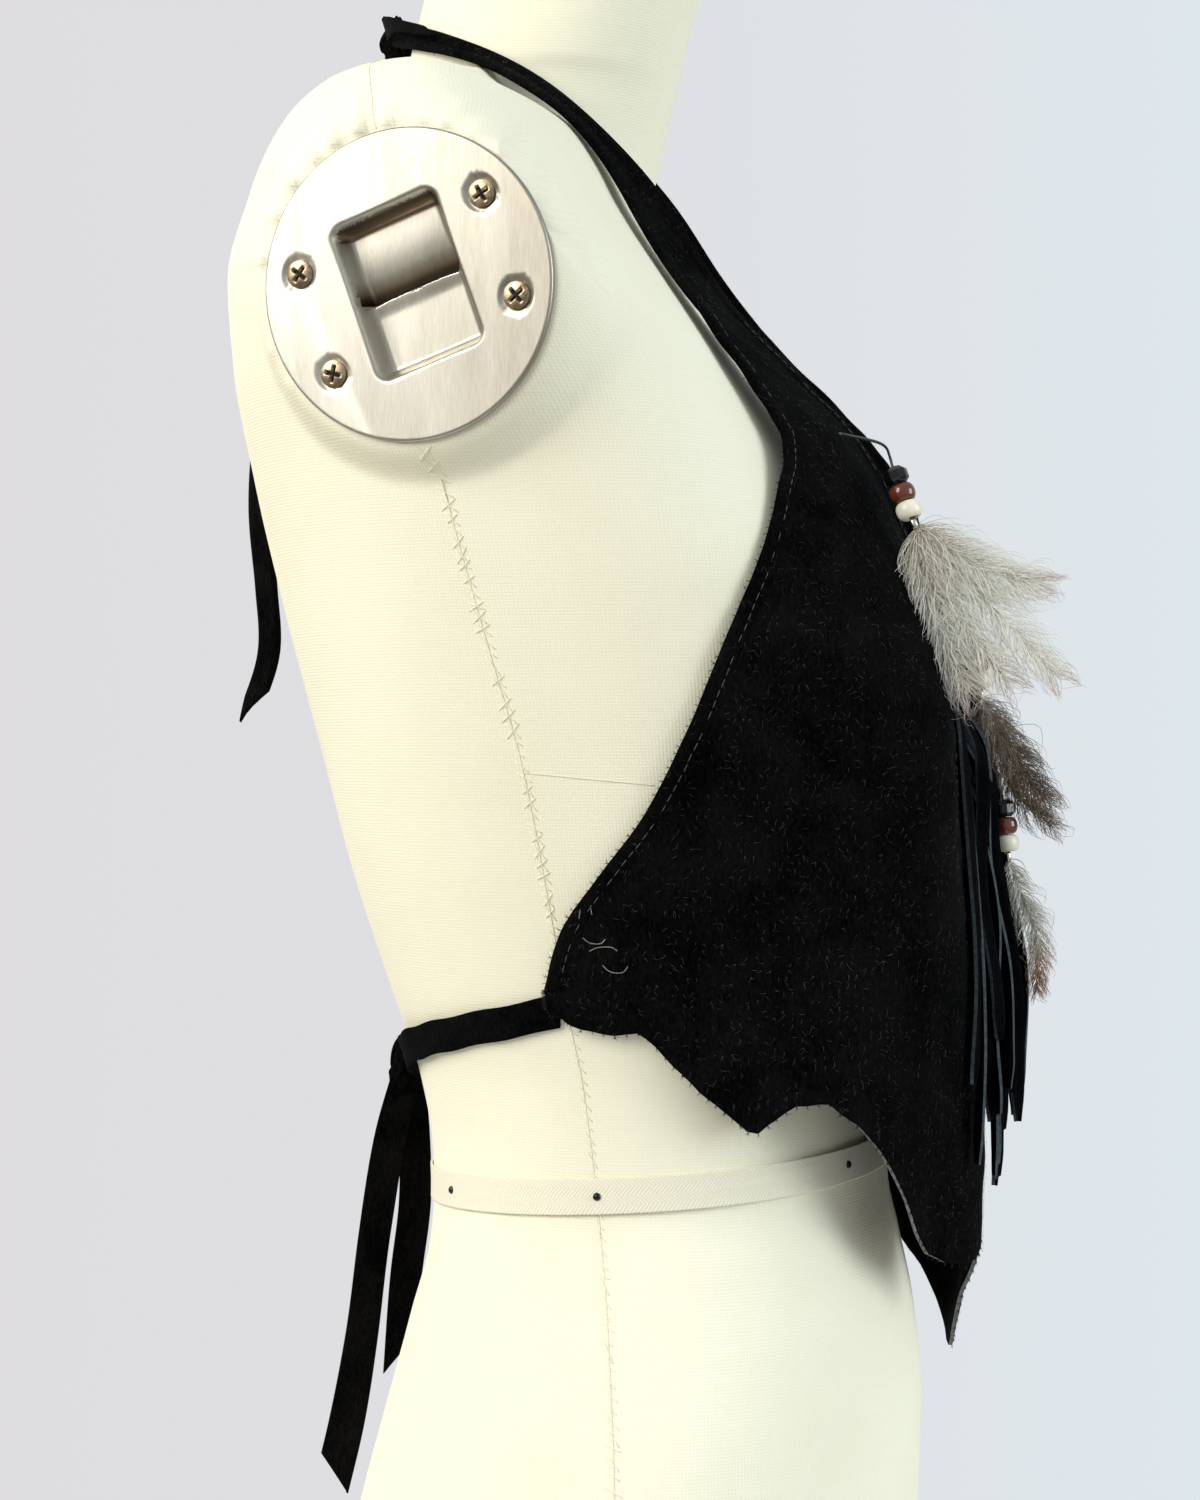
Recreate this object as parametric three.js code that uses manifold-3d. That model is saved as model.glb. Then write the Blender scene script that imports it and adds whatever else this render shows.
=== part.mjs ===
// Fringed suede halter top, worn on a limbless dress form.
// Millimetres, +Z up. The wearer's front faces -Y and the wearer's left is +X.
// The origin is on the underside of the base board, straight below the middle of the waist.
// Angles round the form are in degrees from the front, positive towards the wearer's right (-X).

import * as THREE from 'three';
import { mergeVertices } from 'three/addons/utils/BufferGeometryUtils.js';
import Module from 'manifold-3d';

const wasm = await Module();
wasm.setup();

// ---- driving dimensions ----
const suede = 1.6;             // thickness of the suede
const seamGap = 0.3;           // gap between neighbouring pieces
const tieWidth = 12;           // width of the back straps and of the ties
const waistHeight = 238;       // height of the waist tape's middle at the side
const boardThickness = 18;     // base board under the torso
const neckTop = 722;           // height where the linen cover of the neck ends
const capThickness = 11;       // wooden cap on the neck
const tapeWidth = 12.7;        // waist tape
const tapeThickness = 0.9;
const tapeRise = 6.5;          // how much higher it sits at the front, and lower at the back
const sideCorner = 312;        // height of the armhole edge where it meets the back strap
const cornerAngle = 97.5;      // place of that corner round the form
const strapTop = 592;          // height where the neck strap leaves the chest
const plateRadius = 53.5;      // steel plate at each shoulder
const plateThickness = 2.2;
const plateCentre = { side: 168.5, back: 56.4, height: 556 };
const plateYaw = 8;            // the plate looks a little to the back
const plateDip = 3;            // and a little down
const plateTurn = 19;          // its pocket and screws are turned in its own plane
const pocketMouth = { wide: 41, high: 56 };
const pocketFloor = { wide: 33, high: 48, deep: 9 };
const panWall = 2;             // steel left round and behind the pocket
const stubDepth = 26;          // arm stub that carries a plate
const stubFlare = 7;
const slotDrop = 3.5;          // how far the upper half of the floor runs down into its slot
const screwCircle = 40.6;      // radius on which the screws stand
const screwSpread = 27;        // their angle above and below the plate's own cross line
const screwHead = { radius: 4.8, height: 2.1, seatRadius: 6.4 };
const screwShank = { radius: 2.1, length: 12 };
const beadRadius = 4.75;
const beadLength = 6.4;
const beadHole = 1.75;
const laceRadius = 1.25;

// Horizontal sections of the dress form: half its width, then how far its front, its widest place
// and its back lie behind the waist's middle. square is 2 for an oval and more for a squarer
// outline, and bust is the rise of each breast.
const formSections = [
  { z: 18, half: 168, front: -93, mid: 10, back: 121, square: 2.3, bust: 0 },
  { z: 70, half: 165, front: -96, mid: 8, back: 119, square: 2.3, bust: 0 },
  { z: 111, half: 157, front: -99, mid: 5, back: 111, square: 2.2, bust: 0 },
  { z: 150, half: 145, front: -100, mid: 3, back: 101, square: 2.2, bust: 0 },
  { z: 182, half: 131, front: -97, mid: 1, back: 93, square: 2.2, bust: 0 },
  { z: 210, half: 118, front: -92, mid: 0, back: 87, square: 2.1, bust: 0 },
  { z: 229, half: 111, front: -88, mid: 0, back: 86, square: 2.1, bust: 0 },
  { z: 247, half: 110, front: -87, mid: 0, back: 87, square: 2.1, bust: 0 },
  { z: 273, half: 112, front: -88, mid: 0, back: 92, square: 2.1, bust: 0 },
  { z: 305, half: 119, front: -91, mid: 2, back: 102, square: 2.2, bust: 0 },
  { z: 350, half: 128, front: -98, mid: 6, back: 116, square: 2.3, bust: 6 },
  { z: 400, half: 137, front: -106, mid: 10, back: 128, square: 2.4, bust: 16 },
  { z: 450, half: 146, front: -96, mid: 15, back: 140, square: 2.5, bust: 8 },
  { z: 500, half: 155, front: -68, mid: 22, back: 150, square: 2.6, bust: 1 },
  { z: 540, half: 163, front: -38, mid: 32, back: 155, square: 2.7, bust: 0 },
  { z: 570, half: 168, front: -16, mid: 42, back: 154, square: 2.8, bust: 0 },
  { z: 600, half: 169, front: 3, mid: 50, back: 147, square: 2.5, bust: 0 },
  { z: 615, half: 166, front: 10, mid: 54, back: 143, square: 2.3, bust: 0 },
  { z: 628, half: 161, front: 18, mid: 58, back: 137, square: 2.1, bust: 0 },
  { z: 635.5, half: 154, front: 27, mid: 61, back: 129, square: 2, bust: 0 },
  { z: 640.5, half: 140, front: 37, mid: 62, back: 116, square: 2, bust: 0 },
  { z: 645, half: 115, front: 44, mid: 62, back: 100, square: 2, bust: 0 },
  { z: 649, half: 88, front: 47, mid: 61, back: 88, square: 2, bust: 0 },
  { z: 653.5, half: 62, front: 46, mid: 58, back: 74, square: 2, bust: 0 },
  { z: 660, half: 34, front: 40, mid: 50, back: 60, square: 2, bust: 0 },
  { z: 700, half: 30, front: 31, mid: 39, back: 48, square: 2, bust: 0 },
  { z: 722, half: 30, front: 27, mid: 35, back: 44, square: 2, bust: 0 },
];
// The neck, in the same way. The form is whichever of the two reaches further.
const neckSections = [
  { z: 590, half: 60, front: 20, back: 110 },
  { z: 610, half: 66, front: 8, back: 114 },
  { z: 625, half: 65, front: 3, back: 112 },
  { z: 640, half: 62, front: -1, back: 108 },
  { z: 655, half: 59, front: -5, back: 103 },
  { z: 678, half: 57, front: -10, back: 97 },
  { z: 700, half: 55, front: -16, back: 92 },
  { z: 722, half: 54, front: -20, back: 88 },
];
const bustAngle = 34;          // where each breast stands round the form
const bustSpread = 15;

// Horizontal sections of the suede over the chest and below it, in the same way: half its width,
// its front at the centre seam, its squareness, and the rise of each cup and where that stands.
const clothSections = [
  { z: 150, half: 116, front: -116, square: 2.0, cup: 0, cupAngle: 16 },
  { z: 210, half: 117, front: -123, square: 2.0, cup: 3, cupAngle: 16 },
  { z: 260, half: 119, front: -124, square: 2.05, cup: 5, cupAngle: 20 },
  { z: 310, half: 122, front: -122, square: 2.1, cup: 8, cupAngle: 24 },
  { z: 360, half: 130, front: -118, square: 2.3, cup: 13, cupAngle: 30 },
  { z: 405, half: 138, front: -115, square: 2.5, cup: 17, cupAngle: 34 },
  { z: 440, half: 142, front: -109, square: 2.5, cup: 13, cupAngle: 34 },
  { z: 471, half: 142, front: -101, square: 2.4, cup: 7, cupAngle: 34 },
  { z: 495, half: 140, front: -95, square: 2.2, cup: 3, cupAngle: 34 },
  { z: 516, half: 133, front: -83, square: 2.1, cup: 2, cupAngle: 34 },
  { z: 540, half: 126, front: -62, square: 2, cup: 0, cupAngle: 34 },
  { z: 562, half: 120, front: -40, square: 2, cup: 0, cupAngle: 34 },
  { z: 597, half: 110, front: -13, square: 2, cup: 0, cupAngle: 34 },
  { z: 628, half: 122, front: 10, square: 2, cup: 0, cupAngle: 34 },
];
const cupSpread = 15;
const clothClearance = suede + 0.8;    // least distance of the suede's outer face from the form

// Armhole edge of a panel, from the shoulder down to the side corner.
const armholeEdge = [
  { z: 606, angle: 55.5 },
  { z: 583, angle: 50.5 },
  { z: 559, angle: 46.5 },
  { z: 537, angle: 46.5 },
  { z: 513, angle: 47 },
  { z: 502, angle: 49 },
  { z: 490, angle: 52.5 },
  { z: 468, angle: 58 },
  { z: 437, angle: 65 },
  { z: 406, angle: 71 },
  { z: 374, angle: 78.5 },
  { z: 353, angle: 86 },
  { z: 332, angle: 93.5 },
  { z: 312, angle: 97.5 },
];

// Neckline edge of a panel, from the shoulder down to the point of the V: its distance from the
// middle.
const neckEdge = [
  { z: 604, aside: 47 },
  { z: 592, aside: 43 },
  { z: 562, aside: 38 },
  { z: 525, aside: 40 },
  { z: 500, aside: 40 },
  { z: 475, aside: 29 },
  { z: 455, aside: 13 },
  { z: 438, aside: 0 },
];

// The neck strap beyond the chest, seen from above as two edges: the one towards the neck and the
// one towards the shoulder. back is the distance behind the waist's middle.
const neckStrap = [
  { neckSide: 49, neckBack: -5, neckHeight: 607, outSide: 66, outBack: 0, outHeight: 600 },
  { neckSide: 53, neckBack: 9.5, neckHeight: 626, outSide: 69, outBack: 13.5, outHeight: 619 },
  { neckSide: 57, neckBack: 24, neckHeight: 642, outSide: 72, outBack: 27.5, outHeight: 634 },
  { neckSide: 59, neckBack: 39, neckHeight: 652.5, outSide: 73, outBack: 40, outHeight: 643.5 },
  { neckSide: 60, neckBack: 54, neckHeight: 660, outSide: 72, outBack: 53.5, outHeight: 651 },
  { neckSide: 56, neckBack: 69, neckHeight: 667, outSide: 66, outBack: 69, outHeight: 657 },
  { neckSide: 40, neckBack: 85, neckHeight: 675, outSide: 47, outBack: 86, outHeight: 665 },
  { neckSide: 20, neckBack: 98.5, neckHeight: 681.5, outSide: 22, outBack: 101, outHeight: 672 },
  { neckSide: 8.7, neckBack: 103, neckHeight: 684.5, outSide: 8.7, outBack: 106.5, outHeight: 675.5 },
];

// Raw lower edge of each panel, as cut: its height round the form, from the side to the middle.
const rightHem = [
  { angle: 97.5, z: 304 },
  { angle: 95.5, z: 301 },
  { angle: 91.5, z: 298 },
  { angle: 86, z: 295 },
  { angle: 82, z: 296 },
  { angle: 72.5, z: 277 },
  { angle: 63, z: 259 },
  { angle: 55.5, z: 270 },
  { angle: 50.5, z: 271 },
  { angle: 45, z: 261 },
  { angle: 39.5, z: 249 },
  { angle: 33.5, z: 234 },
  { angle: 29.5, z: 221 },
  { angle: 25, z: 212 },
  { angle: 19, z: 206 },
  { angle: 13.5, z: 204 },
  { angle: 7, z: 209 },
  { angle: 0, z: 219 },
];
const leftHem = [
  { angle: 97.5, z: 304 },
  { angle: 94, z: 299 },
  { angle: 88, z: 294 },
  { angle: 81, z: 291 },
  { angle: 71, z: 272 },
  { angle: 62, z: 254 },
  { angle: 56, z: 262 },
  { angle: 50, z: 226 },
  { angle: 44, z: 201 },
  { angle: 38, z: 187 },
  { angle: 31, z: 168 },
  { angle: 26, z: 157 },
  { angle: 21, z: 164 },
  { angle: 13, z: 184 },
  { angle: 6, z: 205 },
  { angle: 0, z: 213 },
];

// Soft folds of each panel: where the fold stands, its half width in degrees, how far it rises
// and the heights between which it fades in from the top.
const rightFolds = [
  { angle: 58, spread: 8, rise: -4, from: 360, to: 262 },
  { angle: 44, spread: 9, rise: 5, from: 350, to: 255 },
  { angle: 22, spread: 7, rise: -4, from: 330, to: 225 },
  { angle: 9, spread: 6, rise: 2, from: 320, to: 220 },
  { angle: 49, spread: 5, rise: -2, from: 480, to: 560 },
];
const leftFolds = [
  { angle: 62, spread: 9, rise: 4, from: 350, to: 262 },
  { angle: 46, spread: 8, rise: -4, from: 360, to: 225 },
  { angle: 30, spread: 8, rise: 5, from: 330, to: 190 },
  { angle: 14, spread: 6, rise: -3, from: 320, to: 190 },
  { angle: 49, spread: 5, rise: -2, from: 480, to: 560 },
];

// ---- small tools ----
const rad = THREE.MathUtils.degToRad;
const at = (x, y, z) => new THREE.Vector3(x, y, z);

// Smooth curve through one column of a table, with no overshoot between its rows.
function column(rows, key, value) {
  const sorted = [...rows].sort((a, b) => a[key] - b[key]);
  const xs = sorted.map((row) => row[key]);
  const ys = sorted.map((row) => row[value]);
  const last = xs.length - 1;
  const slopes = xs.slice(1).map((x, i) => (ys[i + 1] - ys[i]) / (x - xs[i]));
  const tangents = xs.map((x, i) => {
    if (i === 0) return slopes[0];
    if (i === last) return slopes[last - 1];
    const product = slopes[i - 1] * slopes[i];
    return product <= 0 ? 0 : (2 * product) / (slopes[i - 1] + slopes[i]);
  });
  return (x) => {
    if (x <= xs[0]) return ys[0];
    if (x >= xs[last]) return ys[last];
    let i = 0;
    while (x > xs[i + 1]) i += 1;
    const span = xs[i + 1] - xs[i];
    const t = (x - xs[i]) / span;
    const rise = (1 + 2 * t) * (1 - t) * (1 - t) * ys[i] + t * t * (3 - 2 * t) * ys[i + 1];
    return rise + span * (t * (1 - t) * (1 - t) * tangents[i] - t * t * (1 - t) * tangents[i + 1]);
  };
}

// Straight lines between the rows of a table.
function polyline(rows, key, value) {
  const sorted = [...rows].sort((a, b) => a[key] - b[key]);
  return (x) => {
    let i = 0;
    while (i < sorted.length - 2 && x > sorted[i + 1][key]) i += 1;
    const t = (x - sorted[i][key]) / (sorted[i + 1][key] - sorted[i][key]);
    return THREE.MathUtils.lerp(sorted[i][value], sorted[i + 1][value], THREE.MathUtils.clamp(t, 0, 1));
  };
}

const bell = (distance) => Math.exp(-distance * distance);
const smoothMax = (a, b, blend) => (a + b + Math.hypot(a - b, blend)) / 2;

function bodyFrom(points, triangles) {
  const geometry = new THREE.BufferGeometry();
  const numbers = points.flatMap((point) => point.toArray());
  geometry.setAttribute('position', new THREE.Float32BufferAttribute(numbers, 3));
  geometry.setIndex(triangles.flat());
  return facingOut(geometry);
}

// Six times the volume is the sum of the triple products, so its sign tells which way faces look.
function facingOut(geometry) {
  const place = geometry.getAttribute('position');
  const index = geometry.getIndex();
  const corner = (i) => new THREE.Vector3().fromBufferAttribute(place, index.getX(i));
  let volume = 0;
  for (let i = 0; i < index.count; i += 3) {
    volume += corner(i).dot(corner(i + 1).cross(corner(i + 2)));
  }
  if (volume < 0) {
    for (let i = 0; i < index.count; i += 3) {
      const second = index.getX(i + 1);
      index.setX(i + 1, index.getX(i + 2));
      index.setX(i + 2, second);
    }
  }
  return geometry;
}

// Only places matter to the joins, so normals and texture coordinates go before vertices merge.
function welded(geometry) {
  const bare = geometry.clone();
  bare.deleteAttribute('normal');
  bare.deleteAttribute('uv');
  return facingOut(mergeVertices(bare, 1e-4));
}

function toSolid(geometry) {
  const body = welded(geometry);
  const vertProperties = new Float32Array(body.getAttribute('position').array);
  const triVerts = new Uint32Array(body.getIndex().array);
  return new wasm.Manifold(new wasm.Mesh({ numProp: 3, vertProperties, triVerts }));
}

function fromSolid(solid) {
  const mesh = solid.getMesh();
  const geometry = new THREE.BufferGeometry();
  geometry.setAttribute('position', new THREE.Float32BufferAttribute(mesh.vertProperties, 3));
  geometry.setIndex([...mesh.triVerts]);
  return geometry;
}

const joined = (parts) => fromSolid(parts.map(toSolid).reduce((whole, part) => whole.add(part)));

function cutFrom(body, cutters) {
  return fromSolid(cutters.map(toSolid).reduce((whole, cutter) => whole.subtract(cutter), toSolid(body)));
}

// Normals of a grid of points, turned over where turn is -1.
function gridNormals(grid, turn, round) {
  const rows = grid.length;
  const columns = grid[0].length;
  return grid.map((row, j) => row.map((point, i) => {
    const before = round ? (i + columns - 1) % columns : Math.max(i - 1, 0);
    const after = round ? (i + 1) % columns : Math.min(i + 1, columns - 1);
    const across = row[after].clone().sub(row[before]);
    const down = grid[Math.min(j + 1, rows - 1)][i].clone().sub(grid[Math.max(j - 1, 0)][i]);
    return across.cross(down).normalize().multiplyScalar(turn);
  }));
}

// Thickens a grid of points into one closed wall. outer and inner are the distances of its two
// faces from the points, and round joins each row's end to its start.
function wall(grid, { outer = 0, inner = -suede, turn = 1, round = false, fit = (p) => p }) {
  const rows = grid.length;
  const columns = grid[0].length;
  const normals = gridNormals(grid, turn, round);
  const layer = (distance) => grid.flatMap((row, j) => row.map(
    (point, i) => fit(point.clone().addScaledVector(normals[j][i], distance)),
  ));
  const points = [...layer(outer), ...layer(inner)];
  const under = rows * columns;
  const number = (j, i) => j * columns + (i % columns);
  const triangles = [];
  const quad = (a, b, c, d) => triangles.push([a, b, c], [a, c, d]);
  const spans = round ? columns : columns - 1;
  for (let j = 0; j < rows - 1; j += 1) {
    for (let i = 0; i < spans; i += 1) {
      const corners = [number(j, i), number(j, i + 1), number(j + 1, i + 1), number(j + 1, i)];
      quad(...corners);
      quad(...corners.map((corner) => corner + under).reverse());
    }
  }
  const edge = (a, b) => quad(b, a, a + under, b + under);
  for (let i = 0; i < spans; i += 1) {
    edge(number(0, i), number(0, i + 1));
    edge(number(rows - 1, i + 1), number(rows - 1, i));
  }
  if (!round) {
    for (let j = 0; j < rows - 1; j += 1) {
      edge(number(j + 1, 0), number(j, 0));
      edge(number(j, columns - 1), number(j + 1, columns - 1));
    }
  }
  return bodyFrom(points, triangles);
}

// Closed body through a stack of rings with the same number of points each.
function loft(rings) {
  const sides = rings[0].length;
  const points = rings.flat();
  const centre = (ring) => ring.reduce((sum, p) => sum.add(p), at(0, 0, 0)).divideScalar(sides);
  const first = points.push(centre(rings[0])) - 1;
  const last = points.push(centre(rings[rings.length - 1])) - 1;
  const triangles = [];
  const top = (rings.length - 1) * sides;
  for (let i = 0; i < sides; i += 1) {
    const next = (i + 1) % sides;
    for (let j = 0; j < rings.length - 1; j += 1) {
      const a = j * sides;
      const b = a + sides;
      triangles.push([a + i, a + next, b + next], [a + i, b + next, b + i]);
    }
    triangles.push([first, next, i], [last, top + i, top + next]);
  }
  return bodyFrom(points, triangles);
}

const smoothPath = (points) => new THREE.CatmullRomCurve3(points, false, 'centripetal');

function cordAlong(points, radius, sides = 8) {
  const path = smoothPath(points);
  const outline = new THREE.Shape();
  for (let i = 0; i < sides; i += 1) {
    const turn = (i / sides) * Math.PI * 2;
    const place = [radius * Math.cos(turn), radius * Math.sin(turn)];
    if (i === 0) outline.moveTo(...place);
    else outline.lineTo(...place);
  }
  const steps = Math.max(5, Math.round(path.getLength() / (radius * 4)));
  return new THREE.ExtrudeGeometry(outline, { steps, bevelEnabled: false, extrudePath: path });
}

// Flat strip of suede along a path. across gives its width direction at each share of its length.
function strip(points, width, across, count, thickness = suede) {
  const path = smoothPath(points);
  const grid = path.getSpacedPoints(count).map((point, j) => {
    const share = j / count;
    const half = across(share).clone().normalize().multiplyScalar(width(share) / 2);
    return [point.clone().sub(half), point.clone().add(half)];
  });
  return wall(grid, { outer: thickness / 2, inner: -thickness / 2 });
}

// ---- shape of the form and of the suede on it ----
const formColumns = Object.fromEntries(['half', 'front', 'mid', 'back', 'square', 'bust'].map(
  (key) => [key, column(formSections, 'z', key)],
));
const neckColumns = Object.fromEntries(['half', 'front', 'back'].map(
  (key) => [key, column(neckSections, 'z', key)],
));
const clothColumns = Object.fromEntries(['half', 'front', 'square', 'cup', 'cupAngle'].map(
  (key) => [key, column(clothSections, 'z', key)],
));

function ovalRadius(angle, half, depth, square) {
  const across = Math.abs(Math.sin(rad(angle))) / half;
  const along = Math.abs(Math.cos(rad(angle))) / depth;
  return (across ** square + along ** square) ** (-1 / square);
}

function formRadius(angle, z) {
  const mid = formColumns.mid(z);
  const ahead = Math.cos(rad(angle)) > 0;
  const depthOf = (columns) => (ahead ? mid - columns.front(z) : columns.back(z) - mid);
  const breast = formColumns.bust(z) * bell((Math.abs(angle) - bustAngle) / bustSpread);
  const torso = ovalRadius(angle, formColumns.half(z), depthOf(formColumns), formColumns.square(z));
  if (z < neckSections[0].z) return torso + breast;
  return smoothMax(torso, ovalRadius(angle, neckColumns.half(z), depthOf(neckColumns), 2), 3);
}

// A fold grows from nothing at its from height to its full rise at its to height.
function foldRise(folds, angle, z) {
  return folds.reduce((sum, fold) => {
    const grown = THREE.MathUtils.clamp((z - fold.from) / (fold.to - fold.from), 0, 1);
    return sum + fold.rise * bell((angle - fold.angle) / fold.spread) * grown * grown * (3 - 2 * grown);
  }, 0);
}

// Outer face of the suede. It is kept clear of the form wherever its own section would dip in.
function clothRadius(angle, z, folds) {
  const turned = Math.abs(angle);
  const depth = formColumns.mid(z) - clothColumns.front(z);
  const cup = clothColumns.cup(z) * bell((turned - clothColumns.cupAngle(z)) / cupSpread);
  const own = ovalRadius(angle, clothColumns.half(z), depth, clothColumns.square(z));
  return smoothMax(own + cup + foldRise(folds, turned, z), formRadius(angle, z) + clothClearance, 2);
}

// The angle at which the suede's outer face lies a distance beside the middle.
function angleAt(aside, z, folds) {
  let angle = 0;
  for (let turn = 0; turn < 8; turn += 1) {
    angle = THREE.MathUtils.radToDeg(Math.asin(Math.min(0.99, aside / clothRadius(angle, z, folds))));
  }
  return angle;
}

// A point at an angle, height and distance from the form's upright middle line.
function around(angle, z, radius) {
  return at(-radius * Math.sin(rad(angle)), formColumns.mid(z) - radius * Math.cos(rad(angle)), z);
}

// How far a point lies outside the form's outline at its own height.
function beyondForm(p) {
  const ahead = formColumns.mid(p.z) - p.y;
  const angle = THREE.MathUtils.radToDeg(Math.atan2(-p.x, ahead));
  return Math.hypot(p.x, ahead) - formRadius(angle, p.z);
}

// Moves a point straight away from the form until it is at least gap clear of it.
function clearOfForm(point, gap) {
  const p = point.clone();
  const step = 0.5;
  for (let turn = 0; turn < 8; turn += 1) {
    const here = beyondForm(p);
    const slope = ['x', 'y', 'z'].map((key) => {
      const near = p.clone();
      near[key] += step;
      return (beyondForm(near) - here) / step;
    });
    const steepness = Math.max(1, Math.hypot(...slope));
    const missing = gap - here / steepness;
    if (missing <= 0) break;
    p.addScaledVector(at(...slope), missing / steepness);
  }
  return p;
}

// ---- dress form ----
// Corners of each ring stand closer together at the shoulders, where the ridge is narrow.
const halfTurn = [0, 12, 24, 35, 45, 54, 62, 69, 75, 80, 85, 90];
const formAngles = [
  ...halfTurn, ...halfTurn.slice(0, -1).reverse().map((angle) => 180 - angle),
].flatMap((angle, i, all) => (i === 0 || i === all.length - 1 ? [angle] : [angle, -angle]))
  .sort((a, b) => a - b);

function formRing(z, grow = 0) {
  return formAngles.map((angle) => around(angle, z, formRadius(angle, z) + grow));
}

// A ring at each row of the table, and rings between rows that lie far apart. They stand closest
// over the tops of the shoulders, where the outline changes fastest.
function torso() {
  const heights = [boardThickness + seamGap];
  formSections.slice(1).forEach(({ z }) => {
    const start = heights[heights.length - 1];
    const longestStep = z > 640 && z < 664 ? 3.3 : 34;
    const count = Math.ceil((z - start) / longestStep);
    for (let i = 1; i <= count; i += 1) heights.push(start + ((z - start) * i) / count);
  });
  return loft(heights.map((z) => formRing(z)));
}

// Slab between two heights, inside the form's outline by inset.
function slab(z, low, high, inset) {
  const flat = (height, grow) => formRing(z, grow).map((p) => at(p.x, p.y, height));
  const edge = 1.5;
  return loft([
    flat(low, -inset),
    flat(high - edge, -inset),
    flat(high, -inset - edge),
  ]);
}

function waistTape() {
  const rows = [-0.5, 0, 0.5].map((share) => formAngles.map((angle) => {
    const z = waistHeight + share * tapeWidth + tapeRise * Math.cos(rad(angle));
    return around(angle, z, formRadius(angle, z) + seamGap + 0.3);
  }));
  return wall(rows, { outer: tapeThickness, inner: 0, turn: -1, round: true });
}

// ---- steel shoulder plates, made at the wearer's right and mirrored to the left ----
const plateMatrix = new THREE.Matrix4().makeBasis(at(0, -1, 0), at(0, 0, 1), at(-1, 0, 0))
  .premultiply(new THREE.Matrix4().makeRotationY(rad(-plateDip)))
  .premultiply(new THREE.Matrix4().makeRotationZ(rad(-plateYaw)))
  .multiply(new THREE.Matrix4().makeRotationZ(rad(plateTurn)))
  .setPosition(-plateCentre.side, plateCentre.back, plateCentre.height);

function mirrored(geometry) {
  const other = welded(geometry).scale(-1, 1, 1);
  return facingOut(other);
}

const placedOnRight = (geometry) => geometry.clone().applyMatrix4(plateMatrix);

function disc(radius, low, high, sides = 32) {
  const body = new THREE.CylinderGeometry(radius, radius, high - low, sides);
  return body.rotateX(Math.PI / 2).translate(0, 0, (low + high) / 2);
}

// Four-sided block that narrows from its upper to its lower face.
function taperedBlock(upper, lower, high, low, shift = 0) {
  const ring = ({ wide, high: tall }, z) => [[-1, -1], [1, -1], [1, 1], [-1, 1]].map(
    ([x, y]) => at((x * wide) / 2, (y * tall) / 2 + shift, z),
  );
  return loft([ring(lower, low), ring(upper, high)]);
}

const panDepth = pocketFloor.deep + slotDrop + panWall;
const widened = ({ wide, high }, by) => ({ wide: wide + by, high: high + by });

function screwPlaces() {
  return [screwSpread, 180 - screwSpread, 180 + screwSpread, -screwSpread].map(
    (angle) => [screwCircle * Math.cos(rad(angle)), screwCircle * Math.sin(rad(angle))],
  );
}

function shoulderPlate() {
  const sheet = disc(plateRadius, -plateThickness, 0);
  const pan = taperedBlock(
    widened(pocketMouth, panWall * 2), widened(pocketFloor, panWall * 2), -0.6, -panDepth,
  );
  const recess = taperedBlock(widened(pocketMouth, 0.8), pocketFloor, 0.5, -pocketFloor.deep);
  const half = { wide: pocketFloor.wide - 2, high: pocketFloor.high / 2 };
  const ramp = loft([
    [[-1, 0], [1, 0], [1, 1], [-1, 1]].map(([x, y]) => at(
      (x * half.wide) / 2, y * half.high, -pocketFloor.deep - (y === 0 ? slotDrop : 0.2),
    )),
    [[-1, 0], [1, 0], [1, 1], [-1, 1]].map(([x, y]) => at(
      (x * half.wide) / 2, y * half.high, -pocketFloor.deep + 2,
    )),
  ]);
  const seats = screwPlaces().flatMap(([x, y]) => [
    disc(screwHead.seatRadius, -screwHead.height / 2, 1, 12).translate(x, y, 0),
    disc(screwShank.radius + seamGap, -plateThickness - 1, 1, 8).translate(x, y, 0),
  ]);
  return cutFrom(joined([sheet, pan]), [recess, ramp, ...seats]);
}

// Room in the form for a plate: a flat seat, the pan behind the pocket and the screws' holes.
function plateRoom() {
  return [
    disc(plateRadius + 0.7, -plateThickness - seamGap, 30),
    taperedBlock(
      widened(pocketMouth, panWall * 2 + 1), widened(pocketFloor, panWall * 2 + 1),
      0, -panDepth - seamGap,
    ),
    ...screwPlaces().map(([x, y]) => (
      disc(screwShank.radius + seamGap, -screwShank.length - 1, 0, 8).translate(x, y, 0)
    )),
  ].map(placedOnRight);
}

// The form swells out to carry a plate, as a short arm stub that flares into the body.
function plateSeat() {
  const stub = new THREE.CylinderGeometry(plateRadius + 0.4, plateRadius + stubFlare, stubDepth, 36);
  const top = -plateThickness - seamGap;
  return placedOnRight(stub.rotateX(Math.PI / 2).translate(0, 0, top - stubDepth / 2));
}

function screw() {
  const seat = -screwHead.height / 2 + 0.15;
  const profile = [
    [0, -screwShank.length],
    [screwShank.radius, -screwShank.length + 2],
    [screwShank.radius, seat],
    [screwHead.radius, seat],
    [screwHead.radius, seat + 0.7],
    [screwHead.radius * 0.6, seat + 1.15],
    [0, seat + 1.3],
  ].map(([r, h]) => new THREE.Vector2(r, h));
  return new THREE.LatheGeometry(profile, 8).rotateX(Math.PI / 2);
}

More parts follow.
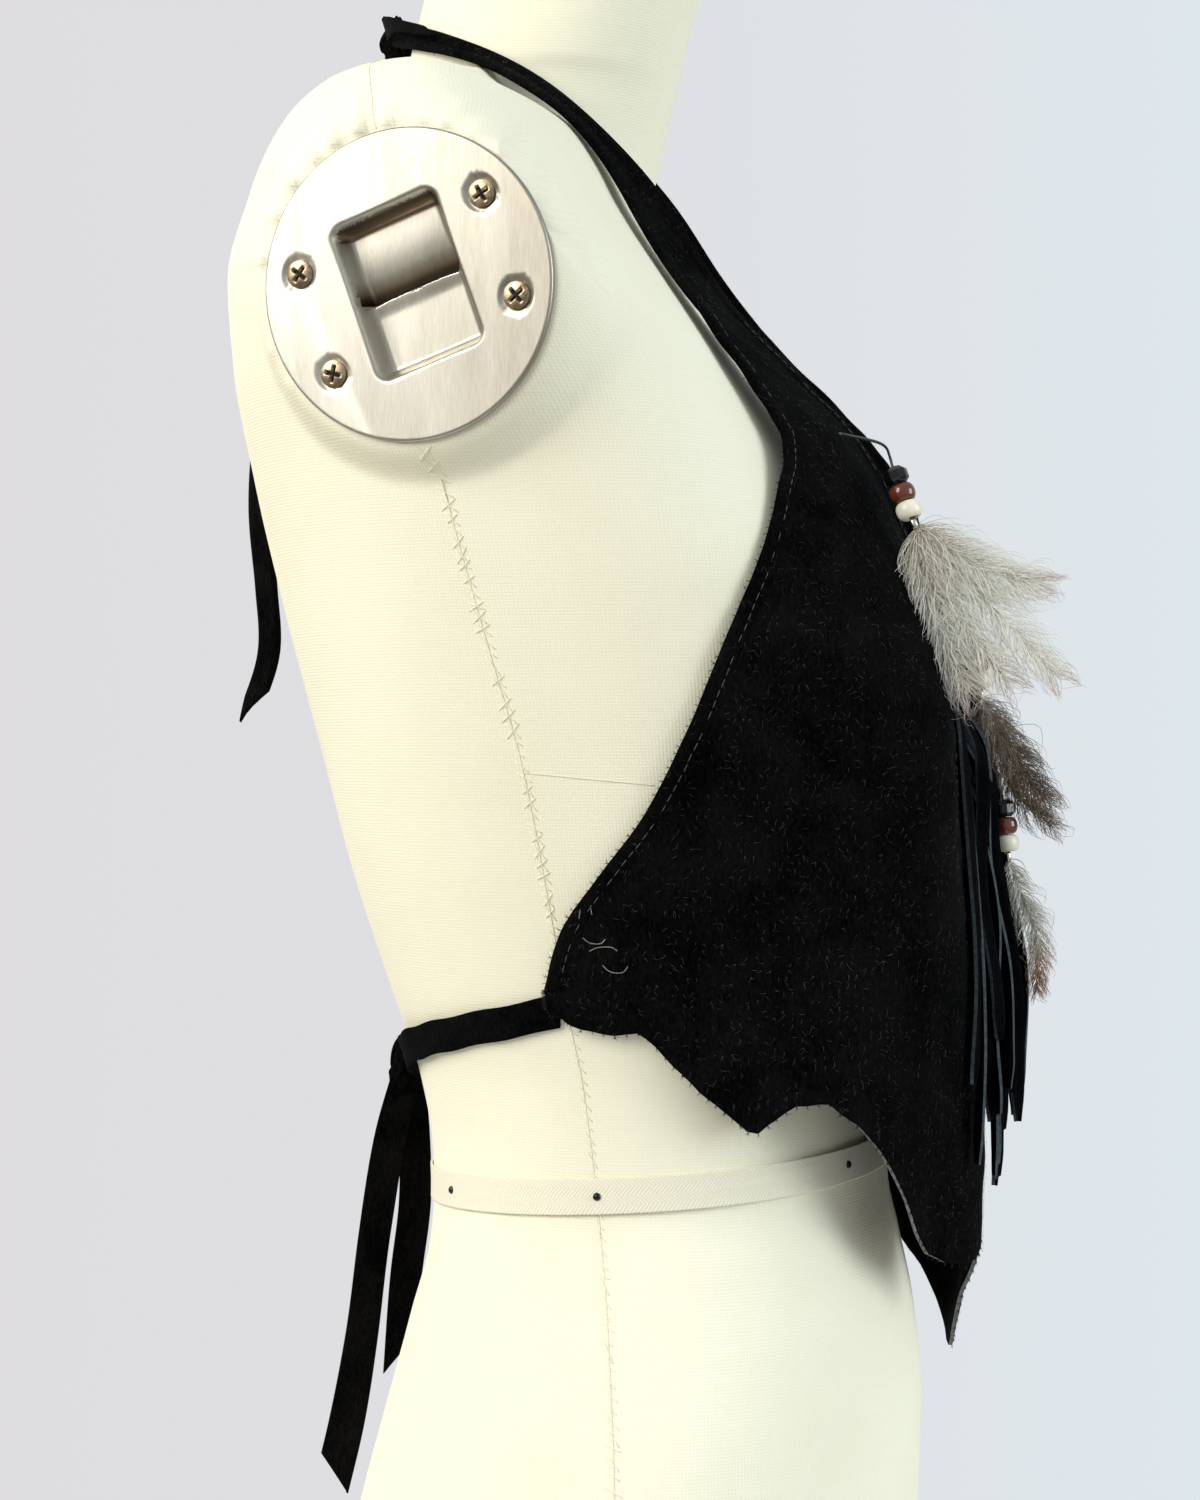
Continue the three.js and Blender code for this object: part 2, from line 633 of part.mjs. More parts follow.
// ---- halter panels ----
// Shares of the way from the armhole edge to the middle, so that each corner of the hem is met.
function hemShares(hem) {
  const shares = [0];
  for (let i = 1; i < hem.length; i += 1) {
    const from = 1 - hem[i - 1].angle / cornerAngle;
    const to = 1 - hem[i].angle / cornerAngle;
    const count = to - from > 0.095 ? 2 : 1;
    for (let k = 1; k <= count; k += 1) shares.push(from + ((to - from) * k) / count);
  }
  return shares;
}

// One half of the top with its neck strap, cut in one. side is 1 on the wearer's right and -1 on
// the left. Rows run from the nape down to the hem, and each row from the armhole to the middle.
function panelGrid(side, hem, folds) {
  const shares = hemShares(hem);
  const armhole = column(armholeEdge, 'z', 'angle');
  const neckline = (z) => angleAt(column(neckEdge, 'z', 'aside')(z), z, folds);
  const hemHeight = polyline(hem, 'angle', 'z');
  const onCloth = (angle, z) => clearOfForm(
    around(side * angle, z, clothRadius(angle, z, folds)), clothClearance + (z > 600 ? 0.8 : 0),
  );
  const rows = [];
  const chest = (z) => shares.map(
    (share) => onCloth(THREE.MathUtils.lerp(armhole(z), neckline(z), share), z),
  );
  const first = chest(strapTop);
  const gap = clothClearance + 2;
  const laid = (sign, aside, back, height) => clearOfForm(at(-sign * aside, back, height), gap);
  const neckCurve = smoothPath([
    ...neckStrap.map((row) => laid(side, row.neckSide, row.neckBack, row.neckHeight)).reverse(),
    first[first.length - 1],
    chest(strapTop - 22)[first.length - 1],
  ]);
  const outCurve = smoothPath([
    ...neckStrap.map((row) => laid(side, row.outSide, row.outBack, row.outHeight)).reverse(),
    first[0],
    chest(strapTop - 22)[0],
  ]);
  const strapRows = 15;
  const strapShare = neckStrap.length / (neckStrap.length + 1);
  for (let j = 0; j < strapRows; j += 1) {
    const t = (strapShare * j) / strapRows;
    const inner = neckCurve.getPoint(t);
    const outer = outCurve.getPoint(t);
    rows.push(shares.map((share) => clearOfForm(outer.clone().lerp(inner, share), gap)));
  }
  const chestRows = 15;
  for (let j = 0; j <= chestRows; j += 1) {
    rows.push(chest(THREE.MathUtils.lerp(strapTop, sideCorner, j / chestRows)));
  }
  const skirtRows = 5;
  for (let j = 1; j <= skirtRows; j += 1) {
    rows.push(shares.map((share) => {
      const angle = cornerAngle * (1 - share);
      return onCloth(angle, THREE.MathUtils.lerp(sideCorner, hemHeight(angle), j / skirtRows));
    }));
  }
  return rows;
}

// The two panels meet at the middle, each kept on its own side of the seam and clear of the form.
function panel(side, hem, folds) {
  const seam = (seamGap + 0.1) / 2;
  const fit = (point) => {
    const p = point.z > 600 ? clearOfForm(point, 1.1) : point;
    if (-side * p.x < 0 || Math.abs(p.x) < seam) p.setX(-side * seam);
    return p;
  };
  return wall(panelGrid(side, hem, folds), { turn: -side, fit });
}

// ---- back straps, knots and ties ----
function backStrap(side) {
  const start = cornerAngle + 0.5;
  const end = 175.6;
  const count = 14;
  const grid = Array.from({ length: count + 1 }, (_, j) => {
    const share = j / count;
    const angle = THREE.MathUtils.lerp(start, end, share);
    const z = THREE.MathUtils.lerp(304.5, 273, share ** 0.9);
    const off = seamGap + 0.5 + 4.2 * share * share;
    return [-0.5, 0.5].map((k) => {
      const height = z + k * tieWidth;
      return around(side * angle, height, formRadius(angle, height) + off);
    });
  });
  return wall(grid, { outer: suede, inner: 0, turn: side });
}

// A pulled knot, as one lumpy body.
function knot(centre, size, turns) {
  const ball = welded(new THREE.SphereGeometry(1, 12, 8));
  const place = ball.getAttribute('position');
  for (let i = 0; i < place.count; i += 1) {
    const p = new THREE.Vector3().fromBufferAttribute(place, i);
    const lump = 1 + 0.13 * Math.sin(turns * Math.atan2(p.z, p.x) + 2.5 * p.y);
    place.setXYZ(i, p.x * lump, p.y * lump, p.z * lump);
  }
  return ball.scale(...size).translate(...centre);
}

const constant = (value) => () => value;
const pointed = (width, from) => (share) => width * Math.min(1, (1.12 - share) / (1 - from));

// ---- beads, laces and feathers ----
function bead() {
  const round = 1.6;
  const half = beadLength / 2;
  const profile = [
    [beadHole, -half],
    [beadRadius - round, -half],
    [beadRadius, -half + round],
    [beadRadius, half - round],
    [beadRadius - round, half],
    [beadHole, half],
    [beadHole, -half],
  ].map(([r, h]) => new THREE.Vector2(r, h));
  return new THREE.LatheGeometry(profile, 10);
}

function pointing(geometry, place, direction) {
  const turn = new THREE.Quaternion().setFromUnitVectors(at(0, 1, 0), direction.clone().normalize());
  return geometry.applyQuaternion(turn).translate(place.x, place.y, place.z);
}

// Outline of a downy feather along its quill: half its width and half its depth at each share.
const featherRows = [
  { share: 0, wide: 1.6, deep: 1.6 },
  { share: 0.1, wide: 4.5, deep: 4 },
  { share: 0.3, wide: 8.5, deep: 7 },
  { share: 0.55, wide: 12, deep: 9 },
  { share: 0.8, wide: 14.5, deep: 9 },
  { share: 0.93, wide: 11, deep: 6.5 },
  { share: 1, wide: 4, deep: 2.5 },
];

function feather(points, fullness, across) {
  const path = smoothPath(points);
  const wide = column(featherRows, 'share', 'wide');
  const deep = column(featherRows, 'share', 'deep');
  const sides = 8;
  const count = 8;
  const rings = Array.from({ length: count + 1 }, (_, j) => {
    const share = j / count;
    const centre = path.getPointAt(share);
    const along = path.getTangentAt(share);
    const out = along.clone().cross(across).normalize();
    const width = out.clone().cross(along).normalize();
    return Array.from({ length: sides }, (_unused, i) => {
      const turn = (i / sides) * Math.PI * 2;
      return centre.clone()
        .addScaledVector(width, Math.cos(turn) * wide(share) * fullness)
        .addScaledVector(out, Math.sin(turn) * deep(share) * fullness);
    });
  });
  return loft(rings);
}

// Each pendant: where its lace leaves the suede and over what, the lace's way from there, the top of
// its beads, which way they hang, and the feather's quill.
const pendants = [
  {
    name: 'neckline',
    start: { side: 1, aside: 61, z: 513, folds: rightFolds, over: 0 },
    lace: [[-66, -95, 508], [-71, -98, 503]],
    beadTop: [-72.5, -99.2, 499],
    hang: [-0.12, -0.36, -0.92],
    quill: [[0, 0, 0], [2, -12, -18], [5, -30, -39], [8, -53, -62]],
    fullness: 1.25,
    across: [0.15, -0.76, 0.64],
  },
  {
    name: 'middle',
    start: { side: -1, aside: 2.3, z: 436, folds: leftFolds, over: 0 },
    lace: [[2, -117, 441], [1.5, -120.5, 442.5]],
    beadTop: [1.5, -121.8, 440],
    hang: [0.02, -0.12, -0.99],
    quill: [[0, 0, 0], [3, -8, -14], [6, -26, -34], [8, -36, -52]],
    fullness: 0.95,
    across: [1, 0.1, 0],
  },
  {
    name: 'low',
    start: { side: -1, aside: 3, z: 384, folds: leftFolds, over: 2.3 },
    lace: [[3, -128, 385], [3, -131.5, 382]],
    beadTop: [3, -133, 378],
    hang: [0.02, -0.08, -0.99],
    quill: [[0, 0, 0], [0.5, -5, -14], [0, -11, -32], [0, -11, -52]],
    fullness: 0.62,
    across: [0.2, 1, 0],
  },
];

// ---- fringe ----
// Strands of one side, from the top root down: the height of the root, how far the strand hangs
// beside the seam, how far in front of the panel, the height of its end and its width.
const strands = [
  { root: 428, aside: 38, proud: 3, end: 268, width: 5 },
  { root: 416, aside: 32, proud: 3.4, end: 244, width: 5.5 },
  { root: 404, aside: 26, proud: 4, end: 262, width: 4.6 },
  { root: 392, aside: 20, proud: 4.6, end: 231, width: 5.2 },
  { root: 378, aside: 14, proud: 5.4, end: 272, width: 4.4 },
  { root: 362, aside: 9, proud: 6, end: 240, width: 4.6 },
];
const secondLayer = [
  { root: 384, aside: 29, proud: 12, end: 284, width: 4.6 },
  { root: 370, aside: 21.5, proud: 14.5, end: 276, width: 5 },
  { root: 356, aside: 14.5, proud: 15.5, end: 265, width: 4.4 },
];
const stripTop = 434;
const stripBottom = 336;
const stripInner = 1.2;        // distance of the fringe's backing from the seam
const stripWidth = 6.5;

const frontOfPanel = (aside, z, folds) => {
  const angle = angleAt(aside, z, folds);
  return formColumns.mid(z) - clothRadius(angle, z, folds) * Math.cos(rad(angle));
};

function fringe(side, folds, shift) {
  const lift = seamGap + 0.3;
  const rows = 9;
  const backing = wall(Array.from({ length: rows + 1 }, (_, j) => {
    const z = THREE.MathUtils.lerp(stripTop, stripBottom, j / rows);
    return [stripInner + stripWidth, stripInner].map(
      (aside) => at(-side * aside, frontOfPanel(aside, z, folds) - lift, z),
    );
  }), { outer: suede, inner: 0, turn: -side });
  const hanging = [...strands, ...secondLayer].map((strand, k) => {
    const end = strand.end + shift * Math.sin(k * 2.3 + side);
    const rootSide = stripInner + stripWidth / 2;
    const steps = 5;
    const grid = Array.from({ length: steps + 1 }, (_, j) => {
      const share = j / steps;
      const z = THREE.MathUtils.lerp(strand.root, end, share);
      const eased = 1 - (1 - Math.min(share * 2.2, 1)) ** 2;
      const sway = 1.2 * Math.sin(share * 5 + k * 1.7) * share;
      const aside = THREE.MathUtils.lerp(rootSide, strand.aside, eased) + sway;
      const reach = Math.min(share * 6, 1);
      const proud = THREE.MathUtils.lerp(lift + suede * 0.5, strand.proud + lift, reach);
      const y = frontOfPanel(Math.max(aside, 1), z, folds) - proud;
      const half = strand.width / 2;
      return [at(-side * (aside + half), y, z), at(-side * (aside - half), y, z)];
    });
    return wall(grid, { outer: 0.75, inner: -0.75, turn: -side });
  });
  return joined([backing, ...hanging]);
}

// ---- materials ----
const suedeBlack = new THREE.MeshStandardMaterial({ color: 0x08090c, roughness: 0.95, metalness: 0 });
const linen = new THREE.MeshStandardMaterial({ color: 0xf6f1d6, roughness: 0.9, metalness: 0 });
const tapeCream = new THREE.MeshStandardMaterial({ color: 0xf3ebca, roughness: 0.85, metalness: 0 });
const paleWood = new THREE.MeshStandardMaterial({ color: 0xd9c39a, roughness: 0.6, metalness: 0 });
const steel = new THREE.MeshStandardMaterial({ color: 0xcfcbbd, roughness: 0.35, metalness: 1 });
const brassPlated = new THREE.MeshStandardMaterial({ color: 0xa8936f, roughness: 0.3, metalness: 1 });
const laceLeather = new THREE.MeshStandardMaterial({ color: 0x1a2226, roughness: 0.5, metalness: 0 });
const beadBlack = new THREE.MeshStandardMaterial({ color: 0x0b0b0d, roughness: 0.15, metalness: 0 });
const beadBrown = new THREE.MeshStandardMaterial({ color: 0x6a2c1c, roughness: 0.2, metalness: 0 });
const beadCream = new THREE.MeshStandardMaterial({ color: 0xf3ecd2, roughness: 0.3, metalness: 0 });
const down = new THREE.MeshStandardMaterial({ color: 0xd2cbb8, roughness: 0.9, metalness: 0 });

// ---- assembly ----
const garment = new THREE.Group();

function add(name, geometry, material, parent = garment) {
  const mesh = new THREE.Mesh(geometry, material);
  mesh.name = name;
  parent.add(mesh);
  return mesh;
}

// Dress form.
const room = plateRoom();
const seat = plateSeat();
const roomBothSides = [...room, ...room.map(mirrored)];
add('form_body', cutFrom(joined([torso(), seat, mirrored(seat)]), roomBothSides), linen);
add('base_board', slab(boardThickness, 0, boardThickness, 3), paleWood);
add('neck_cap', slab(neckTop, neckTop + seamGap, neckTop + seamGap + capThickness, 2), paleWood);
add('waist_tape', waistTape(), tapeCream);

const plate = placedOnRight(shoulderPlate());
add('plate_right', plate, steel);
add('plate_left', mirrored(plate), steel);
screwPlaces().forEach(([x, y], k) => {
  const placed = placedOnRight(screw().translate(x, y, 0));
  add(`screw_right_${k + 1}`, placed, brassPlated);
  add(`screw_left_${k + 1}`, mirrored(placed), brassPlated);
});

// Panels and their fringe.
add('panel_right', panel(1, rightHem, rightFolds), suedeBlack);
add('panel_left', panel(-1, leftHem, leftFolds), suedeBlack);
add('fringe_right', fringe(1, rightFolds, 6), suedeBlack);
add('fringe_left', fringe(-1, leftFolds, 9), suedeBlack);

// Back straps, tied behind the waist.
add('back_strap_right', backStrap(1), suedeBlack);
add('back_strap_left', backStrap(-1), suedeBlack);
add('back_knot', knot([0, 103, 272], [8.5, 6.5, 12], 3), suedeBlack);
add('back_tie_long', strip(
  [
    at(-3, 104, 258.5), at(-5, 109, 240), at(-6, 115, 205),
    at(-5, 120, 165), at(-2, 127, 130), at(2, 135, 104),
  ],
  constant(tieWidth + 0.6),
  (share) => at(0.62, -0.78 + 0.2 * share, -0.1),
  12,
), suedeBlack);
add('back_tie_short', strip(
  [at(6, 102.5, 258.5), at(8, 101.5, 240), at(10, 102, 215), at(11, 106, 185), at(11, 109, 152)],
  constant(tieWidth),
  (share) => at(0.9, -0.4 + 0.3 * share, -0.06),
  10,
), suedeBlack);

// Neck knot and its two ends.
add('neck_knot', knot([0, 108.3, 682], [9, 6, 10], 3), suedeBlack);
add('neck_tie_long', strip(
  [
    at(1, 109.5, 669.5), at(1, 113, 661), at(1, 122, 649), at(1, 135.5, 636),
    at(1, 149, 618), at(1, 157, 597), at(1, 162.5, 560), at(1, 164.5, 525), at(1, 164, 495),
    at(1, 160, 462), at(1, 159, 436), at(1, 170, 412),
  ],
  pointed(10, 0.86),
  (share) => at(0.75, 0.25 + 0.5 * Math.sin(share * 3), 0.05),
  22,
), suedeBlack);
add('neck_tie_short', strip(
  [at(-10, 108.5, 683.3), at(-22, 104.3, 683), at(-36, 97, 681), at(-49, 87.5, 677), at(-61, 77, 673)]
    .map((p) => clearOfForm(p, 2)),
  pointed(9, 0.9),
  constant(at(0.2, 0.3, 0.93)),
  8,
), suedeBlack);

// Pendants: a lace, three pony beads and a feather each.
const beadColours = [['black', beadBlack], ['brown', beadBrown], ['cream', beadCream]];
pendants.forEach((pendant) => {
  const hang = at(...pendant.hang).normalize();
  const top = at(...pendant.beadTop);
  const pitch = beadLength + seamGap;
  const tail = top.clone().addScaledVector(hang, pitch * beadColours.length + 1.5);
  const { side, aside, z, folds, over } = pendant.start;
  const face = frontOfPanel(aside, z, folds) - seamGap - 0.1 - laceRadius - over;
  const bends = pendant.lace.map((point) => at(...point));
  const firstJoint = top.clone().addScaledVector(hang, pitch);
  const lace = [at(-side * aside, face, z), ...bends, top, firstJoint, tail];
  add(`lace_${pendant.name}`, cordAlong(lace, laceRadius), laceLeather);
  beadColours.forEach(([colour, material], k) => {
    const place = top.clone().addScaledVector(hang, pitch * (k + 0.5));
    add(`bead_${colour}_${pendant.name}`, pointing(bead(), place, hang), material);
  });
  const start = tail.clone().addScaledVector(hang, seamGap + 0.3);
  const quill = pendant.quill.map((p) => start.clone().add(at(...p)));
  add(`feather_${pendant.name}`, feather(quill, pendant.fullness, at(...pendant.across)), down);
});

export default garment;
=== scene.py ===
import math
import bpy
import numpy as np
from mathutils import Matrix, Vector


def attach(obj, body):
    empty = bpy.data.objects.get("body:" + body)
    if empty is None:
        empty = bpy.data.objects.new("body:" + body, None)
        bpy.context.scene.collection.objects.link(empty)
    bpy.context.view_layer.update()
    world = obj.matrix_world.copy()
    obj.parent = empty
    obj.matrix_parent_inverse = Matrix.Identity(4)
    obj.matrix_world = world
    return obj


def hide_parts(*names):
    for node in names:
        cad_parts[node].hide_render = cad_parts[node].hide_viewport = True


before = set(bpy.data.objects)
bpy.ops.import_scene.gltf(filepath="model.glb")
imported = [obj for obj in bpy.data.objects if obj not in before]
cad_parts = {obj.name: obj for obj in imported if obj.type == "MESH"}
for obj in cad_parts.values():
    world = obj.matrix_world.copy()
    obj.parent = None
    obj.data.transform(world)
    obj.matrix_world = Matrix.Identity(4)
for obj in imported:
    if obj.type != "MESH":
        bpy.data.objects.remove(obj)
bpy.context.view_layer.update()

# Halter top of black suede on a linen dress form. Shapes are worked out in millimetres.
# The wearer's front faces -Y and the wearer's left is +X. Angles round the form are in degrees
# from the front, positive towards the wearer's right.
mm = 0.001
dice = np.random.default_rng(11)
print("stage: frame loaded")


# curves and grids that every piece is made from
def column(table, key, value):
    # smooth curve through one column of a table, with no overshoot between its rows
    order = np.argsort(table[key])
    xs = np.array(table[key], float)[order]
    ys = np.array(table[value], float)[order]
    slopes = np.diff(ys) / np.diff(xs)
    product = slopes[:-1] * slopes[1:]
    both = np.where(product > 0, slopes[:-1] + slopes[1:], 1)
    middle = np.where(product > 0, 2 * product / both, 0)
    tangents = np.concatenate([slopes[:1], middle, slopes[-1:]])

    def curve(x):
        x = np.clip(x, xs[0], xs[-1])
        i = np.clip(np.searchsorted(xs, x, side="right") - 1, 0, len(xs) - 2)
        span = xs[i + 1] - xs[i]
        t = (x - xs[i]) / span
        rise = (1 + 2 * t) * (1 - t) ** 2 * ys[i] + t * t * (3 - 2 * t) * ys[i + 1]
        return rise + span * (t * (1 - t) ** 2 * tangents[i] - t * t * (1 - t) * tangents[i + 1])

    return curve


def smoothCurve(points):
    # centripetal curve through the points, at a share of their number
    p = np.array(points, float)
    padded = np.vstack([2 * p[0] - p[1], p, 2 * p[-1] - p[-2]])

    def place(share):
        s = np.clip(np.atleast_1d(share), 0, 1) * (len(p) - 1)
        k = np.minimum(s.astype(int), len(p) - 2)
        w = (s - k)[:, None]
        a, b, c, d = (padded[k + i] for i in range(4))
        root = [np.linalg.norm(q - r, axis=1, keepdims=True) ** 0.5 for q, r in ((b, a), (c, b), (d, c))]
        out = ((b - a) / root[0] - (c - a) / (root[0] + root[1]) + (c - b) / root[1]) * root[1]
        into = ((c - b) / root[1] - (d - b) / (root[1] + root[2]) + (d - c) / root[2]) * root[1]
        square = -3 * b + 3 * c - 2 * out - into
        cube = 2 * b - 2 * c + out + into
        return b + out * w + square * w ** 2 + cube * w ** 3

    return place


def evenly(points, count):
    # count + 1 points at even distances along the smooth curve through the given ones
    dense = smoothCurve(points)(np.linspace(0, 1, 60 * len(points)))
    run = np.concatenate([[0], np.cumsum(np.linalg.norm(np.diff(dense, axis=0), axis=1))])
    want = np.linspace(0, run[-1], count + 1)
    return np.stack([np.interp(want, run, dense[:, k]) for k in range(3)], axis=1)


def unit(v):
    return v / np.maximum(np.linalg.norm(v, axis=-1, keepdims=True), 1e-9)


def smoothStep(x):
    t = np.clip(x, 0, 1)
    return t * t * (3 - 2 * t)


def bell(x):
    return np.exp(-x * x)


def smoothMax(a, b, blend):
    return (a + b + np.hypot(a - b, blend)) / 2


def gridNormals(grid, closed=False):
    if closed:
        wrapped = np.concatenate([grid[:, -1:], grid, grid[:, :1]], axis=1)
        across = wrapped[:, 2:] - wrapped[:, :-2]
    else:
        across = np.gradient(grid, axis=1)
    return unit(np.cross(across, np.gradient(grid, axis=0)))


def outwardOf(grid):
    # 1 where the grid's own normals look away from the form's upright middle line, else -1
    normals = gridNormals(grid)
    away = grid - np.array([0, 30, 0])
    away[..., 2] = 0
    return 1 if np.sum(normals * away) > 0 else -1


def fanCaps(rows, columns):
    # close a round wall at both ends, each fan round its own middle point after the wall's points
    low, high = rows * columns, rows * columns + 1
    top = (rows - 1) * columns
    ring = np.arange(columns)
    after = (ring + 1) % columns
    lower = [(low, b, a) for a, b in zip(ring, after)]
    upper = [(high, top + a, top + b) for a, b in zip(ring, after)]
    return lower + upper


def gridFaces(rows, columns, closed=False, start=0, turned=False):
    # corner numbers of each cell, and their row and column for the cloth's own coordinates
    spans = columns if closed else columns - 1
    j, i = np.meshgrid(np.arange(rows - 1), np.arange(spans), indexing="ij")
    j, i = j.ravel(), i.ravel()
    corners = [(j, i), (j, i + 1), (j + 1, i + 1), (j + 1, i)]
    if turned:
        corners = corners[::-1]
    faces = np.stack([start + r * columns + c % columns for r, c in corners], axis=1)
    places = np.stack([np.stack([r, c], axis=1) for r, c in corners], axis=1)
    return faces, places


def addMesh(name, points, faces, materials, slots=None, flat=None, uv=None):
    mesh = bpy.data.meshes.new(name)
    mesh.from_pydata((np.asarray(points) * mm).tolist(), [], [list(map(int, f)) for f in faces])
    for material in materials:
        mesh.materials.append(material)
    count = len(mesh.polygons)
    if slots is not None:
        mesh.polygons.foreach_set("material_index", np.asarray(slots, dtype=np.int32))
    smooth = np.ones(count, dtype=bool)
    if flat is not None:
        smooth[np.asarray(flat, dtype=bool)] = False
    mesh.polygons.foreach_set("use_smooth", smooth)
    if uv is not None:
        layer = mesh.uv_layers.new(name="cloth")
        layer.data.foreach_set("uv", np.asarray(uv, dtype=np.float32).ravel())
    mesh.update()
    piece = bpy.data.objects.new(name, mesh)
    bpy.context.scene.collection.objects.link(piece)
    return piece


def settle(piece, slotName, *nodes):
    # every piece rides on the one body and stands for its own nodes
    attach(piece, "root")
    if nodes:
        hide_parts(*nodes)
    return piece


def shell(grid, thickness, outward, closed=False):
    # closed wall on a grid of its outer face, with the cut edge as the second material
    rows, columns = grid.shape[:2]
    normals = gridNormals(grid, closed) * outward
    under = grid - normals * thickness
    points = np.concatenate([grid.reshape(-1, 3), under.reshape(-1, 3)])
    half = rows * columns
    turned = outward < 0
    top, topPlaces = gridFaces(rows, columns, closed, 0, turned)
    low, lowPlaces = gridFaces(rows, columns, closed, half, not turned)
    rims = []

    def rim(a, b, flip):
        rims.append((b, a, a + half, b + half) if flip == turned else (a, b, b + half, a + half))

    spans = columns if closed else columns - 1
    for j, flip in ((0, False), (rows - 1, True)):
        for i in range(spans):
            rim(j * columns + i, j * columns + (i + 1) % columns, flip)
    if not closed:
        for i, flip in ((0, True), (columns - 1, False)):
            for j in range(rows - 1):
                rim(j * columns + i, (j + 1) * columns + i, flip)
    faces = [*top, *low, *rims]
    slots = [0] * (len(top) + len(low)) + [1] * len(rims)
    run = np.zeros((rows, columns + 1))
    step = np.linalg.norm(np.diff(np.concatenate([grid, grid[:, :1]], axis=1), axis=1), axis=2)
    run[:, 1:] = np.cumsum(step, axis=1)
    down = np.zeros((rows, columns + 1))
    down[1:, :columns] = np.cumsum(np.linalg.norm(np.diff(grid, axis=0), axis=2), axis=0)
    down[:, columns] = down[:, 0]
    both = np.concatenate([topPlaces, lowPlaces]).reshape(-1, 2)
    uv = np.stack([run[both[:, 0], both[:, 1]], down[both[:, 0], both[:, 1]]], axis=1) * mm
    uv = np.concatenate([uv, np.zeros((4 * len(rims), 2))])
    return points, faces, slots, uv


def tubes(paths, radii, sides=3):
    # many thin tubes at once: paths are (many, steps, 3) and radii (many, steps)
    paths = np.asarray(paths, float)
    many, steps = paths.shape[:2]
    along = unit(np.gradient(paths, axis=1))
    guide = np.broadcast_to([0.31, 0.17, 0.93], along.shape)
    first = unit(np.cross(along, guide))
    second = np.cross(along, first)
    turn = np.arange(sides) / sides * 2 * math.pi
    spokes = (first[:, :, None] * np.cos(turn)[:, None] + second[:, :, None] * np.sin(turn)[:, None])
    points = paths[:, :, None] + spokes * np.asarray(radii)[:, :, None, None]
    n, j, i = np.meshgrid(np.arange(many), np.arange(steps - 1), np.arange(sides), indexing="ij")
    base = (n * steps + j) * sides
    after = (i + 1) % sides
    quads = np.stack([base + i, base + after, base + sides + after, base + sides + i], axis=-1)
    faces = [*quads.reshape(-1, 4)]
    ring = np.arange(sides)
    for n in range(many):
        faces.append(n * steps * sides + ring[::-1])
        faces.append(((n + 1) * steps - 1) * sides + ring)
    shares = np.broadcast_to(np.linspace(0, 1, steps)[None, :, None], (many, steps, sides))
    return points.reshape(-1, 3), faces, shares.reshape(-1)


def cornerValues(faces, values):
    return np.asarray(values)[np.concatenate([np.asarray(f) for f in faces])]


# materials, each from a few nodes
def newMaterial(name, **shaderValues):
    material = bpy.data.materials.new(name)
    material.use_nodes = True
    tree = material.node_tree
    shader = tree.nodes["Principled BSDF"]
    for socket, value in shaderValues.items():
        shader.inputs[socket.replace("_", " ")].default_value = value
    return material, tree, shader


def coordinates(tree, kind="Object", stretch=(1, 1, 1)):
    source = tree.nodes.new("ShaderNodeTexCoord")
    mapping = tree.nodes.new("ShaderNodeMapping")
    mapping.inputs["Scale"].default_value = stretch
    tree.links.new(source.outputs[kind], mapping.inputs["Vector"])
    return mapping.outputs["Vector"]


def noise(tree, vector, scale, detail=4, roughness=0.55, distortion=0):
    texture = tree.nodes.new("ShaderNodeTexNoise")
    texture.inputs["Scale"].default_value = scale
    texture.inputs["Detail"].default_value = detail
    texture.inputs["Roughness"].default_value = roughness
    texture.inputs["Distortion"].default_value = distortion
    tree.links.new(vector, texture.inputs["Vector"])
    return texture.outputs["Fac"]


def wave(tree, vector, scale, direction="X", distortion=0.6):
    texture = tree.nodes.new("ShaderNodeTexWave")
    texture.bands_direction = direction
    texture.inputs["Scale"].default_value = scale
    texture.inputs["Distortion"].default_value = distortion
    texture.inputs["Detail"].default_value = 1
    texture.inputs["Detail Scale"].default_value = 3
    tree.links.new(vector, texture.inputs["Vector"])
    return texture.outputs["Fac"]


def ramp(tree, factor, stops):
    node = tree.nodes.new("ShaderNodeValToRGB")
    elements = node.color_ramp.elements
    while len(elements) < len(stops):
        elements.new(0.5)
    for element, (place, colour) in zip(elements, stops):
        element.position = place
        element.color = (*colour, 1)
    tree.links.new(factor, node.inputs["Fac"])
    return node.outputs["Color"]


def maths(tree, operation, first, second):
    node = tree.nodes.new("ShaderNodeMath")
    node.operation = operation
    for socket, value in zip(node.inputs, (first, second)):
        if isinstance(value, (int, float)):
            socket.default_value = value
        else:
            tree.links.new(value, socket)
    return node.outputs[0]


def mixed(tree, factor, first, second, blend="MIX"):
    node = tree.nodes.new("ShaderNodeMix")
    node.data_type = "RGBA"
    node.blend_type = blend
    sockets = [s for s in node.inputs if s.type == "RGBA"]
    for socket, value in ((node.inputs[0], factor), (sockets[0], first), (sockets[1], second)):
        if isinstance(value, (int, float)):
            socket.default_value = value
        elif isinstance(value, tuple):
            socket.default_value = (*value, 1)
        else:
            tree.links.new(value, socket)
    return [s for s in node.outputs if s.type == "RGBA"][0]


def colourFrom(tree, shader, colour):
    tree.links.new(colour, shader.inputs["Base Color"])


def bumpFrom(tree, shader, height, strength, distance):
    node = tree.nodes.new("ShaderNodeBump")
    node.inputs["Strength"].default_value = strength
    node.inputs["Distance"].default_value = distance
    tree.links.new(height, node.inputs["Height"])
    tree.links.new(node.outputs["Normal"], shader.inputs["Normal"])


